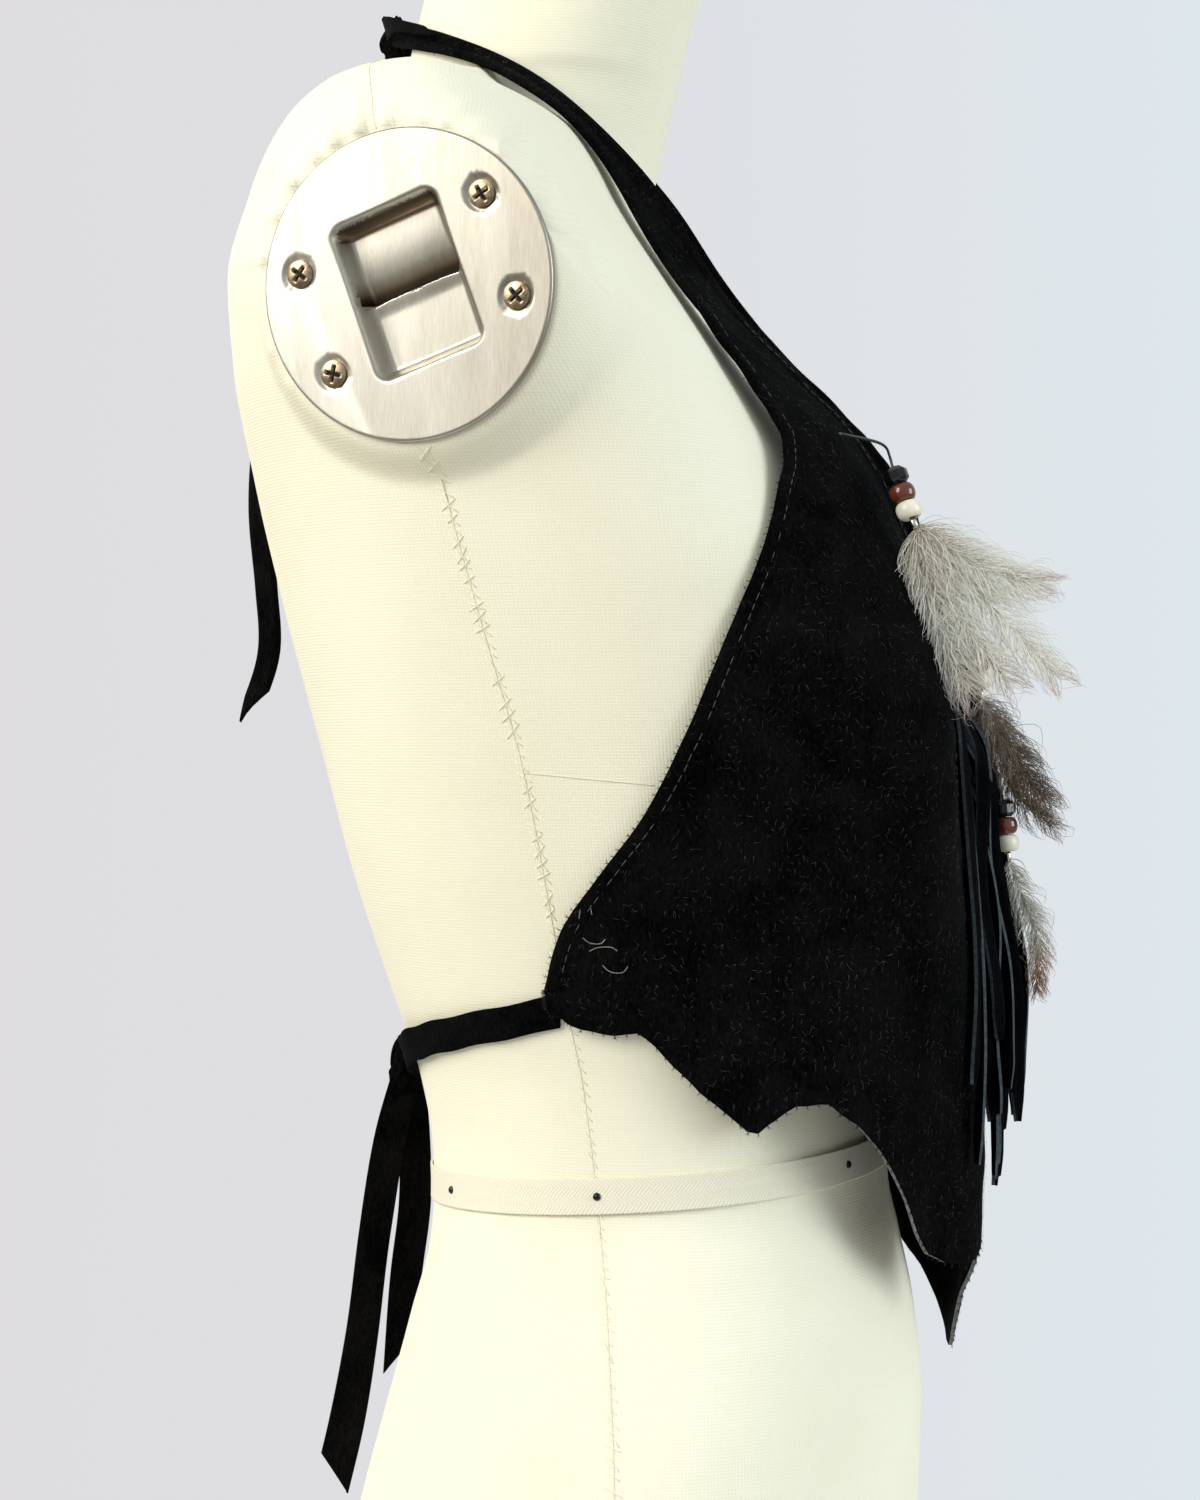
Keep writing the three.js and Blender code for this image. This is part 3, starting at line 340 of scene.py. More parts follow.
def suedeMaterial(name, dark, light, sheen):
    material, tree, shader = newMaterial(
        name, Roughness=0.96, Specular_IOR_Level=0.03, Sheen_Weight=sheen, Sheen_Roughness=0.45)
    shader.inputs["Sheen Tint"].default_value = (0.75, 0.86, 1, 1)
    where = coordinates(tree)
    patches = noise(tree, where, 38, 5, 0.6, 0.4)
    nap = noise(tree, coordinates(tree, stretch=(1, 1, 0.45)), 900, 3, 0.65)
    mottled = maths(tree, "MULTIPLY", maths(tree, "ADD", patches, nap), 0.5)
    colourFrom(tree, shader, ramp(tree, mottled, [(0.40, dark), (0.68, light)]))
    bumpFrom(tree, shader, nap, 0.5, 0.0005)
    return material


def plainMaterial(name, dark, light, scale, roughness, bump=0.2, distance=0.0002, metal=0.0, **more):
    material, tree, shader = newMaterial(name, Roughness=roughness, Metallic=metal, **more)
    grain = noise(tree, coordinates(tree), scale, 4)
    colourFrom(tree, shader, ramp(tree, grain, [(0.3, dark), (0.7, light)]))
    bumpFrom(tree, shader, grain, bump, distance)
    return material


def linenMaterial():
    material, tree, shader = newMaterial("linenCanvas", Roughness=0.9, Specular_IOR_Level=0.2)
    cloth = coordinates(tree, "UV")
    warp = wave(tree, cloth, 290, "X", 1.2)
    weft = wave(tree, cloth, 290, "Y", 1.2)
    weave = maths(tree, "MULTIPLY", warp, weft)
    slubs = noise(tree, coordinates(tree, "UV", (60, 900, 1)), 1, 3)
    patches = noise(tree, coordinates(tree), 14, 4)
    base = ramp(tree, patches, [(0.3, (0.935, 0.90, 0.715)), (0.7, (0.975, 0.95, 0.775))])
    threads = ramp(tree, weave, [(0.0, (0.9, 0.885, 0.85)), (0.5, (1, 1, 1))])
    colourFrom(tree, shader, mixed(tree, 0.55, base, threads, "MULTIPLY"))
    bumpFrom(tree, shader, maths(tree, "ADD", weave, maths(tree, "MULTIPLY", slubs, 0.7)), 0.35, 0.00025)
    return material


def tapeMaterial():
    # herringbone: slanted ribs that turn over at the middle of each quarter of the width
    material, tree, shader = newMaterial("herringboneTape", Roughness=0.85, Specular_IOR_Level=0.2)
    cloth = coordinates(tree, "UV")
    split = tree.nodes.new("ShaderNodeSeparateXYZ")
    tree.links.new(cloth, split.inputs[0])
    zigzag = maths(tree, "PINGPONG", split.outputs["Y"], 0.0032)
    slanted = maths(tree, "ADD", split.outputs["X"], zigzag)
    ribs = maths(tree, "SINE", maths(tree, "MULTIPLY", slanted, 4200), 0.0)
    colourFrom(tree, shader, ramp(tree, ribs, [(0.0, (0.84, 0.79, 0.62)), (1.0, (0.94, 0.90, 0.76))]))
    bumpFrom(tree, shader, ribs, 0.4, 0.0002)
    return material


def steelMaterial(name, paintedShade=None):
    # cloth coordinates of a plate are its own width and height; a painted shade darkens each plate towards
    # its front edge, and an optional ramp of painted shade and painted reflection darkens it over its height
    material, tree, shader = newMaterial(name, Metallic=1.0, Anisotropic=0.35)
    fine = noise(tree, coordinates(tree, stretch=(1, 1, 0.035)), 2600, 3, 0.6)
    broad = noise(tree, coordinates(tree, stretch=(1, 1, 0.2)), 70, 3)
    scratches = noise(tree, coordinates(tree, stretch=(1, 1, 0.06)), 420, 2, 0.4, 0.3)
    tone = maths(tree, "MULTIPLY", maths(tree, "ADD", fine, broad), 0.5)
    colour = ramp(tree, tone, [(0.3, (0.44, 0.415, 0.355)), (0.7, (0.66, 0.63, 0.56))])
    split = tree.nodes.new("ShaderNodeSeparateXYZ")
    tree.links.new(coordinates(tree, "UV"), split.inputs[0])
    # painted shade: every plate darkens across its width towards its front edge, where less light falls
    paintedSideShade = [(0.0, (1, 1, 1)), (0.45, (0.97, 0.97, 0.96)), (1.0, (0.72, 0.70, 0.67))]
    across = ramp(tree, split.outputs["X"], paintedSideShade)
    colour = mixed(tree, 1.0, colour, across, "MULTIPLY")
    # painted shade and painted dark reflection: the pocket's floor darkens towards its slot and under its
    # top wall, over the plate's height
    if paintedShade:
        colour = mixed(tree, 1.0, colour, ramp(tree, split.outputs["Y"], paintedShade), "MULTIPLY")
    colourFrom(tree, shader, colour)
    rough = maths(tree, "ADD", maths(tree, "MULTIPLY", scratches, 0.16), 0.34)
    tree.links.new(rough, shader.inputs["Roughness"])
    bumpFrom(tree, shader, fine, 0.16, 0.0001)
    return material


def woodMaterial():
    material, tree, shader = newMaterial("paleBeech", Roughness=0.5)
    grain = noise(tree, coordinates(tree, stretch=(1, 9, 9)), 12, 6, 0.6, 1.2)
    colourFrom(tree, shader, ramp(tree, grain, [(0.3, (0.5, 0.35, 0.19)), (0.7, (0.70, 0.54, 0.33))]))
    bumpFrom(tree, shader, grain, 0.15, 0.0003)
    return material


def featherMaterial(name, stops, streak):
    material, tree, shader = newMaterial(
        name, Roughness=0.75, Specular_IOR_Level=0.25, Sheen_Weight=0.15)
    cloth = coordinates(tree, "UV")
    split = tree.nodes.new("ShaderNodeSeparateXYZ")
    tree.links.new(cloth, split.inputs[0])
    mottle = noise(tree, coordinates(tree), 260, 3)
    spots = maths(tree, "MULTIPLY", maths(tree, "SUBTRACT", mottle, 0.5), streak)
    place = maths(tree, "ADD", split.outputs["X"], spots)
    colourFrom(tree, shader, ramp(tree, place, stops))
    return material


suedeFace = suedeMaterial("blackSuede", (0.0004, 0.0004, 0.0005), (0.0070, 0.0067, 0.0066), 0.006)
suedeEdge = plainMaterial(
    "rawSuedeEdge", (0.06, 0.062, 0.065), (0.22, 0.225, 0.23), 900, 0.95, 0.6, 0.0006)
# painted highlight: the fringe strips' cut edges are a light teal-grey that stands in for their sheen under
# the cool light
stripEdgeHighlight = plainMaterial(
    "paintedStripEdgeHighlight", (0.012, 0.019, 0.023), (0.055, 0.074, 0.085), 700, 0.85, 0.4, 0.0004)
stripFace = suedeMaterial("fringeSuede", (0.0005, 0.0007, 0.0010), (0.0030, 0.0038, 0.0048), 0.01)
linen = linenMaterial()
seamShade = plainMaterial("seamShade", (0.74, 0.70, 0.54), (0.84, 0.80, 0.64), 400, 0.95)
creamThread = plainMaterial(
    "creamThread", (0.84, 0.80, 0.62), (0.95, 0.92, 0.76), 1500, 0.8, 0.3, 0.0001)
greyThread = plainMaterial("greyThread", (0.02, 0.02, 0.02), (0.11, 0.11, 0.105), 1500, 0.8, 0.3, 0.0001)
paleThread = plainMaterial("paleThread", (0.12, 0.12, 0.115), (0.3, 0.3, 0.29), 1500, 0.8, 0.3, 0.0001)
lint = plainMaterial("lintFibre", (0.02, 0.019, 0.018), (0.13, 0.12, 0.11), 60, 0.9)
napFuzz = plainMaterial("napFuzz", (0.001, 0.001, 0.0012), (0.006, 0.006, 0.007), 1200, 0.95)
tapeCloth = tapeMaterial()
steel = steelMaterial("brushedSteel")
# steel of the pockets, with painted shade near the slot and a painted dark brown reflection under the top
# wall
paintedPocketShadeSteel = steelMaterial("paintedPocketShadeSteel", [
    (0.503, (0.05, 0.035, 0.03)), (0.525, (0.24, 0.17, 0.13)), (0.545, (0.62, 0.54, 0.47)),
    (0.59, (1, 1, 1)), (0.728, (1, 1, 1)), (0.735, (0.30, 0.20, 0.14)), (0.752, (0.62, 0.5, 0.4)),
    (0.768, (0.2, 0.13, 0.09)), (0.782, (1, 1, 1))])
screwMetal = plainMaterial(
    "platedScrew", (0.20, 0.15, 0.09), (0.50, 0.40, 0.27), 420, 0.34, 0.2, 0.0002, 1.0)
# near-black painted shade, laid as the plates' slots and in the deepest part of the screws' cross recesses
paintedSlotShade = plainMaterial("slotShade", (0.004, 0.004, 0.005), (0.012, 0.012, 0.013), 300, 0.9)
wood = woodMaterial()
laceLeather = plainMaterial(
    "laceLeather", (0.004, 0.006, 0.008), (0.02, 0.028, 0.033), 260, 0.38, 0.3, 0.0003)
# painted highlight: the laces' edges are a light blue-grey that stands in for their sheen
paintedLaceEdgeHighlight = plainMaterial("paintedLaceEdgeHighlight", (0.10, 0.125, 0.135), (0.26, 0.30, 0.32), 500, 0.6, 0.3, 0.0003)
blackGlass = plainMaterial(
    "blackBead", (0.003, 0.003, 0.004), (0.008, 0.008, 0.01), 90, 0.08, 0.05, 0.0001)
brownBead = plainMaterial(
    "brownBead", (0.075, 0.016, 0.007), (0.17, 0.042, 0.018), 160, 0.13, 0.05, 0.0001, Coat_Weight=0.5)
creamBead = plainMaterial("creamBead", (0.82, 0.76, 0.58), (0.93, 0.89, 0.74), 120, 0.28, 0.05, 0.0001)
crimpMetal = plainMaterial("crimp", (0.55, 0.52, 0.44), (0.8, 0.76, 0.66), 300, 0.25, 0.1, 0.0001, 1.0)
pinMetal = plainMaterial("pinHead", (0.02, 0.02, 0.022), (0.07, 0.07, 0.075), 300, 0.3, 0.1, 0.0001, 1.0)
creamDown = featherMaterial("creamDown", [
    (0.0, (0.58, 0.51, 0.43)), (0.18, (0.84, 0.80, 0.70)), (0.5, (0.97, 0.96, 0.88)),
    (0.84, (0.93, 0.89, 0.81)), (1.0, (0.55, 0.36, 0.31))], 0.3)
brownDown = featherMaterial("brownDown", [
    (0.0, (0.62, 0.57, 0.47)), (0.3, (0.33, 0.26, 0.19)), (0.65, (0.22, 0.16, 0.11)),
    (1.0, (0.36, 0.29, 0.22))], 0.4)
paleDown = featherMaterial("paleDown", [
    (0.0, (0.72, 0.70, 0.60)), (0.55, (0.76, 0.73, 0.64)), (0.72, (0.52, 0.34, 0.22)),
    (1.0, (0.30, 0.13, 0.07))], 0.2)
print("stage: materials")

# dress form: half is half the width, and front, mid and back are distances behind the waist's middle
formShape = {
    "z": [18, 70, 111, 150, 182, 210, 229, 247, 273, 305, 350, 400, 450, 500, 540, 570, 600,
          615, 628, 635.5, 640.5, 645, 649, 653.5, 660, 700, 722],
    "half": [168, 165, 157, 145, 131, 118, 111, 110, 112, 119, 128, 137, 146, 155, 163, 168, 169,
             166, 161, 154, 140, 115, 88, 62, 34, 30, 30],
    "front": [-93, -96, -99, -100, -97, -92, -88, -87, -88, -91, -98, -106, -96, -68, -38, -16, 3,
              10, 18, 27, 37, 44, 47, 46, 40, 31, 27],
    "mid": [10, 8, 5, 3, 1, 0, 0, 0, 0, 2, 6, 10, 15, 22, 32, 42, 50,
            54, 58, 61, 62, 62, 61, 58, 50, 39, 35],
    "back": [121, 119, 111, 101, 93, 87, 86, 87, 92, 102, 116, 128, 140, 150, 155, 154, 147,
             143, 137, 129, 116, 100, 88, 74, 60, 48, 44],
    "square": [2.3, 2.3, 2.2, 2.2, 2.2, 2.1, 2.1, 2.1, 2.1, 2.2, 2.3, 2.4, 2.5, 2.6, 2.7, 2.8, 2.5,
               2.3, 2.1, 2, 2, 2, 2, 2, 2, 2, 2],
    "bust": [0, 0, 0, 0, 0, 0, 0, 0, 0, 0, 6, 16, 8, 1, 0, 0, 0, 0, 0, 0, 0, 0, 0, 0, 0, 0, 0],
    "bustAngle": 34, "bustSpread": 15,
}
neckShape = {
    "z": [590, 610, 625, 640, 655, 678, 700, 722],
    "half": [60, 66, 65, 62, 59, 57, 55, 54],
    "front": [20, 8, 3, -1, -5, -10, -16, -20],
    "back": [110, 114, 112, 108, 103, 97, 92, 88],
}
formAt = {key: column(formShape, "z", key) for key in ("half", "front", "mid", "back", "square", "bust")}
neckAt = {key: column(neckShape, "z", key) for key in ("half", "front", "back")}


def ovalRadius(angle, half, depth, square):
    across = np.abs(np.sin(np.radians(angle))) / half
    along = np.abs(np.cos(np.radians(angle))) / depth
    return (across ** square + along ** square) ** (-1 / square)


def formRadius(angle, z):
    mid = formAt["mid"](z)
    ahead = np.cos(np.radians(angle)) > 0

    def depth(curves):
        return np.where(ahead, mid - curves["front"](z), curves["back"](z) - mid)

    breast = formAt["bust"](z) * bell((np.abs(angle) - formShape["bustAngle"]) / formShape["bustSpread"])
    torso = ovalRadius(angle, formAt["half"](z), depth(formAt), formAt["square"](z))
    neck = ovalRadius(angle, neckAt["half"](z), depth(neckAt), 2)
    return np.where(z < neckShape["z"][0], torso + breast, smoothMax(torso, neck, 3))


def around(angle, z, radius):
    a = np.radians(angle)
    return np.stack([-radius * np.sin(a), formAt["mid"](z) - radius * np.cos(a), z + 0 * a], axis=-1)


def beyondForm(p):
    ahead = formAt["mid"](p[..., 2]) - p[..., 1]
    angle = np.degrees(np.arctan2(-p[..., 0], ahead))
    return np.hypot(p[..., 0], ahead) - formRadius(angle, p[..., 2])


def clearOfForm(points, gap):
    # moves points straight away from the form until they are at least gap clear of it
    p = np.array(points, float)
    step = 0.5
    for _ in range(8):
        here = beyondForm(p)
        moved = [beyondForm(p + step * np.eye(3)[k]) for k in range(3)]
        slope = np.stack([(there - here) / step for there in moved], axis=-1)
        steep = np.maximum(1, np.linalg.norm(slope, axis=-1))
        missing = np.maximum(0, gap - here / steep)
        p = p + slope * (missing / steep)[..., None]
    return p


plate = {
    "side": 168.5, "back": 56.4, "height": 556, "yaw": 8, "dip": 3, "turn": 19,
    "radius": 53.5, "thickness": 2.2, "mouth": (41, 56), "floor": (33, 48), "deep": 9, "slotDrop": 3.6,
    "screwCircle": 40.6, "screwSpread": 27, "headRadius": 4.8, "seatRadius": 6.5, "seatDepth": 1.05,
    "seatBlend": 15, "seatGap": 0.35, "pocketReach": 47, "pocketRoom": 16, "gauge": 1.4, "mouthCorner": 4.0,
}
facingRight = Matrix(((0, 0, -1, 0), (-1, 0, 0, 0), (0, 1, 0, 0), (0, 0, 0, 1)))
plateMatrix = (
    Matrix.Translation((-plate["side"], plate["back"], plate["height"]))
    @ Matrix.Rotation(math.radians(-plate["yaw"]), 4, "Z")
    @ Matrix.Rotation(math.radians(-plate["dip"]), 4, "Y")
    @ facingRight
    @ Matrix.Rotation(math.radians(plate["turn"]), 4, "Z")
)
plateAxes = np.array(plateMatrix.to_3x3())
plateMiddle = np.array(plateMatrix.translation)


def toPlate(points, side):
    return ((points * [side, 1, 1]) - plateMiddle) @ plateAxes


def fromPlate(local, side):
    return (local @ plateAxes.T + plateMiddle) * [side, 1, 1]


# gathers of the linen where it is eased in round a plate: place round the plate, reach and rise
gathers = {
    "turn": [52, 64, 75, 84, 97, 108, 118, 127, 139, 152, 168, 38, 25, 200, 215],
    "reach": [30, 17, 24, 13, 22, 30, 26, 18, 28, 20, 26, 20, 14, 16, 12],
    "rise": [3.4, 2.1, 2.7, 1.9, 2.6, 3.6, 3.2, 2.4, 3.0, 2.2, 2.8, 1.9, 1.2, 1.3, 0.9],
    "spread": 2.6,
}


def seatPlates(points):
    # the form swells to a flat seat under each plate, and its linen is gathered round the edge
    for side in (1, -1):
        local = toPlate(points, side)
        far = np.hypot(local[..., 0], local[..., 1])
        near = np.abs(local[..., 2]) < 45
        share = smoothStep((plate["radius"] + plate["seatBlend"] - far) / plate["seatBlend"]) * near
        seat = -plate["thickness"] - plate["seatGap"]
        local[..., 2] += (seat - local[..., 2]) * share
        local[..., 2] -= plate["pocketRoom"] * smoothStep((plate["pocketReach"] - far) / 6) * near
        turn = np.degrees(np.arctan2(local[..., 1], local[..., 0])) - plate["turn"]
        outside = far - plate["radius"]
        for place, reach, rise in zip(gathers["turn"], gathers["reach"], gathers["rise"]):
            off = (turn + plate["turn"] * 2 - place + 180) % 360 - 180
            fade = smoothStep(outside / 2.5) * smoothStep((reach - outside) / reach)
            local[..., 2] += rise * bell(off / gathers["spread"]) * fade * near
        points = fromPlate(local, side)
    return points


# rows and columns of the form's skin, closest where the linen is gathered round the plates
skinRows = [(18.3, 478, 108), (480, 640, 88), (641.6, 668, 17), (671, 722, 14)]
skinColumns = [(0, 58, 30), (58.6, 132, 118), (134, 178, 20)]


def formSkin():
    heights = np.concatenate([np.linspace(*stretch) for stretch in skinRows])
    half = np.concatenate([np.linspace(*stretch) for stretch in skinColumns])
    angles = np.concatenate([-half[:0:-1], half, [180]])
    a, z = np.meshgrid(angles, heights)
    grid = seatPlates(around(a, z, formRadius(a, z)))
    rows, columns = grid.shape[:2]
    faces, places = gridFaces(rows, columns, closed=True)
    points = np.concatenate([grid.reshape(-1, 3), [[0, 14, heights[0]], [0, 34, heights[-1]]]])
    caps = fanCaps(rows, columns)
    # cloth coordinates run round the form at a middling radius, and up its height
    middlingRadius = 120
    corners = places.reshape(-1, 2)
    turned = np.append(angles, angles[0] + 360)[corners[:, 1]]
    u = np.radians(turned) * middlingRadius * mm
    v = heights[corners[:, 0]] * mm
    uv = np.concatenate([np.stack([u, v], axis=1), np.zeros((3 * len(caps), 2))])
    return addMesh("formSkin", points, [*faces, *caps], [linen], uv=uv)


settle(formSkin(), "linen", "form_body")


def slabPiece(name, atHeight, low, high, inset, material):
    # wooden slab in the form's outline at a height, with a rounded upper edge and an eased lower one
    angles = np.linspace(-180, 180, 181)[:-1]
    level = atHeight + 0 * angles
    edge, ease = 1.5, 0.4
    outline = formRadius(angles, level) - inset - ease
    rings = []
    profile = [(low, 0), (low + ease, ease), (high - edge, ease), (high - edge * 0.3, 0), (high, -edge)]
    for height, more in profile:
        ring = around(angles, level, outline + more)
        ring[:, 2] = height
        rings.append(ring)
    grid = np.array(rings)
    rows, columns = grid.shape[:2]
    faces, _ = gridFaces(rows, columns, closed=True)
    points = np.concatenate([grid.reshape(-1, 3), [grid[0].mean(0), grid[-1].mean(0)]])
    caps = fanCaps(rows, columns)
    flat = [False] * len(faces) + [True] * len(caps)
    return addMesh(name, points, [*faces, *caps], [material], flat=flat)


settle(slabPiece("baseBoard", 18, 0, 18, 3, wood), "wood", "base_board")
settle(slabPiece("neckCap", 722, 722.3, 733.3, 2, wood), "wood", "neck_cap")

waistTape = {
    "height": 238, "rise": 6.5, "width": 12.7, "thickness": 0.9, "off": 0.45,
    "across": [-0.5, -0.46, -0.25, 0, 0.25, 0.46, 0.5],
    "pins": [32, 91, 129, 180, -32, -91, -129], "pinRadius": 1.5,
}


def tapePoint(angle, share):
    z = waistTape["height"] + share * waistTape["width"] + waistTape["rise"] * np.cos(np.radians(angle))
    return around(angle, z, formRadius(angle, z) + waistTape["off"] + waistTape["thickness"])


def waistTapePiece():
    angles = np.linspace(-180, 180, 361)[:-1]
    grid = np.array([tapePoint(angles, share) for share in waistTape["across"]])
    points, faces, slots, uv = shell(grid, waistTape["thickness"], outwardOf(grid), closed=True)
    return addMesh("waistTape", points, faces, [tapeCloth, tapeCloth], slots, uv=uv)


waistBand = settle(waistTapePiece(), "tape", "waist_tape")


def domes(name, places, radius, material):
    # small round pin heads, each pushed in to half its depth
    points, faces = [], []
    rows, sides = 5, 12
    for place in places:
        place = np.array(place, float)
        out = unit(place - np.array([0, formAt["mid"](place[2]), place[2]]))
        first = unit(np.cross(out, [0, 0, 1]))
        second = np.cross(out, first)
        start = len(points)
        for j in range(rows):
            lift = j / rows * math.pi / 2
            for i in range(sides):
                turn = i / sides * 2 * math.pi
                flatPart = (first * math.cos(turn) + second * math.sin(turn)) * math.cos(lift)
                points.append(place + radius * (flatPart + out * math.sin(lift) * 0.7))
        points.append(place + radius * out * 0.7)
        for j in range(rows - 1):
            for i in range(sides):
                a, b = start + j * sides + i, start + j * sides + (i + 1) % sides
                faces.append((a, b, b + sides, a + sides))
        last = start + rows * sides
        faces += [(last - sides + i, last - sides + (i + 1) % sides, last) for i in range(sides)]
        faces.append(tuple(start + i for i in reversed(range(sides))))
    return addMesh(name, points, faces, [material])


pinPlaces = [tapePoint(np.array(a, float), 0.0) for a in waistTape["pins"]]
settle(domes("tapePins", pinPlaces, waistTape["pinRadius"], pinMetal), "screw")

# seams of the form's linen: each a thin sunk line of shade, and hand stitches where it was closed
sideSeam = {"z": [20, 139, 187, 235, 301, 351, 389, 435, 473, 500],
            "angle": [82, 84, 87, 91, 94.3, 95, 96, 98.5, 100, 100.5], "radius": 0.26}
sideSeamAt = column(sideSeam, "z", "angle")
topSeam = {"z": [610, 620, 630, 638, 645, 650], "angle": [95, 95, 95, 95, 94, 92.5]}
bustSeam = {"from": 96, "to": 75, "height": 389, "drop": 0.22}
handStitch = {"pitch": 4.3, "radius": 0.17, "crossedAbove": 300, "crossed": 0.45, "rise": 0.45}


def onForm(angle, z, lift):
    angle, z = np.asarray(angle, float), np.asarray(z, float)
    return seatPlates(around(angle, z, formRadius(angle, z))) + outFrom(angle) * lift


def outFrom(angle):
    a = np.radians(angle)
    return np.stack([-np.sin(a), -np.cos(a), 0 * a], axis=-1)


def seamLines():
    paths = []
    for side in (1, -1):
        z = np.linspace(sideSeam["z"][0], sideSeam["z"][-1], 160)
        paths.append(onForm(side * sideSeamAt(z), z, 0.0))
        a = np.linspace(bustSeam["from"], bustSeam["to"], 40)
        paths.append(onForm(side * a, bustSeam["height"] - (bustSeam["from"] - a) * bustSeam["drop"], 0.0))
        z = np.linspace(topSeam["z"][0], topSeam["z"][-1], 60)
        paths.append(onForm(side * column(topSeam, "z", "angle")(z), z, 0.05))
    steps = 160
    even = np.array([evenly(p[::4], steps - 1) for p in paths])
    points, faces, _ = tubes(even, np.full(even.shape[:2], sideSeam["radius"]), 5)
    return addMesh("seamLines", points, faces, [seamShade])


def seamStitches():
    # slanted hand stitches over the side seams, in crossed pairs above and single ones below
    h = handStitch
    paths = []
    for side in (1, -1):
        for z in np.arange(26, 500, h["pitch"]):
            z = z + dice.normal(0, 0.5)
            angle = float(sideSeamAt(z))
            reach = 0.8 + 0.4 * dice.random()
            slants = (2.6, -2.2) if z > h["crossedAbove"] and dice.random() < h["crossed"] else (2.2,)
            for slant in slants:
                slant = slant + dice.normal(0, 0.5)
                share = np.linspace(-1, 1, 5)
                lift = h["rise"] * (1 - share ** 2) + 0.05
                where = onForm(side * (angle + share * reach), z + share * slant, 0.0)
                paths.append(where + outFrom(side * (angle + share * reach)) * lift[:, None])
    paths = np.array(paths)
    points, faces, _ = tubes(paths, np.full(paths.shape[:2], h["radius"]), 5)
    return addMesh("seamStitches", points, faces, [creamThread])


settle(seamLines(), "linen")
settle(seamStitches(), "linen")
print("stage: dress form")

# steel shoulder plates, with four screws on one circle
spread = plate["screwSpread"]
screwTurns = [math.radians(a) for a in (spread, 180 - spread, 180 + spread, -spread)]
screwPlaces = [
    (plate["screwCircle"] * math.cos(a), plate["screwCircle"] * math.sin(a)) for a in screwTurns
]


def boxDistance(x, y, wide, high, corner):
    # distance outside a rounded rectangle, negative inside it
    dx = np.abs(x) - wide / 2 + corner
    dy = np.abs(y) - high / 2 + corner
    return np.hypot(np.maximum(dx, 0), np.maximum(dy, 0)) + np.minimum(np.maximum(dx, dy), 0) - corner


def plateHeight(x, y):
    # pressed pocket, its curved upper floor that runs down to the slot, and the screws' countersinks
    inside = -boxDistance(x, y, *plate["mouth"], plate["mouthCorner"])
    wallWide = (plate["mouth"][0] - plate["floor"][0]) / 2 + 0.8
    pressed = smoothStep((inside + 0.9) / wallWide)
    upper = np.clip(1 - y / (plate["floor"][1] / 2), 0, 1)
    slope = plate["slotDrop"] * (upper ** 3.2) * (y > -0.6)
    tongue = 0.7 * smoothStep((y + 6) / 6) * (y <= -0.6)
    height = -pressed * (plate["deep"] + slope - tongue)
    for sx, sy in screwPlaces:
        far = np.hypot(x - sx, y - sy)
        height = height - plate["seatDepth"] * smoothStep((plate["seatRadius"] - far) / 1.0)
    far = np.hypot(x, y)
    return height - 0.5 * np.clip((far - plate["radius"] + 0.9) / 0.9, 0, 1) ** 2


def platePiece(name, side):
    # the plate and its underside in one round wall, closest together where the pocket's walls are
    radial = np.concatenate([
        np.linspace(0.01, 10, 12), np.linspace(10.8, 50, 68), np.linspace(50.7, plate["radius"], 8)])
    turns = np.linspace(0, 2 * math.pi, 181)[:-1]
    r, t = np.meshgrid(radial, turns, indexing="ij")
    x, y = r * np.cos(t), r * np.sin(t)
    top = np.stack([x, y, plateHeight(x, y)], axis=-1)
    under = top - [0, 0, plate["gauge"]]
    under[-6:, :, 2] = -plate["thickness"]
    grid = np.concatenate([top, under[::-1]])
    rows, columns = grid.shape[:2]
    faces, _ = gridFaces(rows, columns, closed=True, turned=side < 0)
    points = fromPlate(grid.reshape(-1, 3), side)
    first = tuple(range(columns))
    last = tuple((rows - 1) * columns + i for i in range(columns))
    ends = [first, last[::-1]] if side < 0 else [first[::-1], last]
    middle = (rows // 2 - 1) * columns
    flat = [middle <= f[0] < middle + columns for f in faces] + [True, True]
    # the slot is a band of painted shade along the bottom of the pocket's floor
    slotBand = (np.abs(grid[..., 1] + 0.1) < 1.5) & (np.abs(grid[..., 0]) < plate["floor"][0] / 2 - 0.4)
    slotBand = (slotBand & (grid[..., 2] < -plate["deep"] + 0.2)).ravel()
    flatX, flatY = grid[..., 0].ravel(), grid[..., 1].ravel()
    # faces inside the pocket take the steel with the painted shade and painted reflection
    pocket = (np.abs(flatX) < plate["mouth"][0] / 2 - 0.6) & (flatY > 0)
    pocket = pocket & (flatY < plate["mouth"][1] / 2 - 0.2) & (grid[..., 2].ravel() < -1.2)
    slots = [1 if all(slotBand[k] for k in f) else 2 if all(pocket[k] for k in f) else 0 for f in faces]
    slots += [0, 0]
    faces = [*faces, *ends]
    size = 100
    uv = cornerValues(faces, np.stack([flatX / size + 0.5, flatY / size + 0.5], axis=1))
    return addMesh(name, points, faces, [steel, paintedSlotShade, paintedPocketShadeSteel], slots, flat=flat, uv=uv)


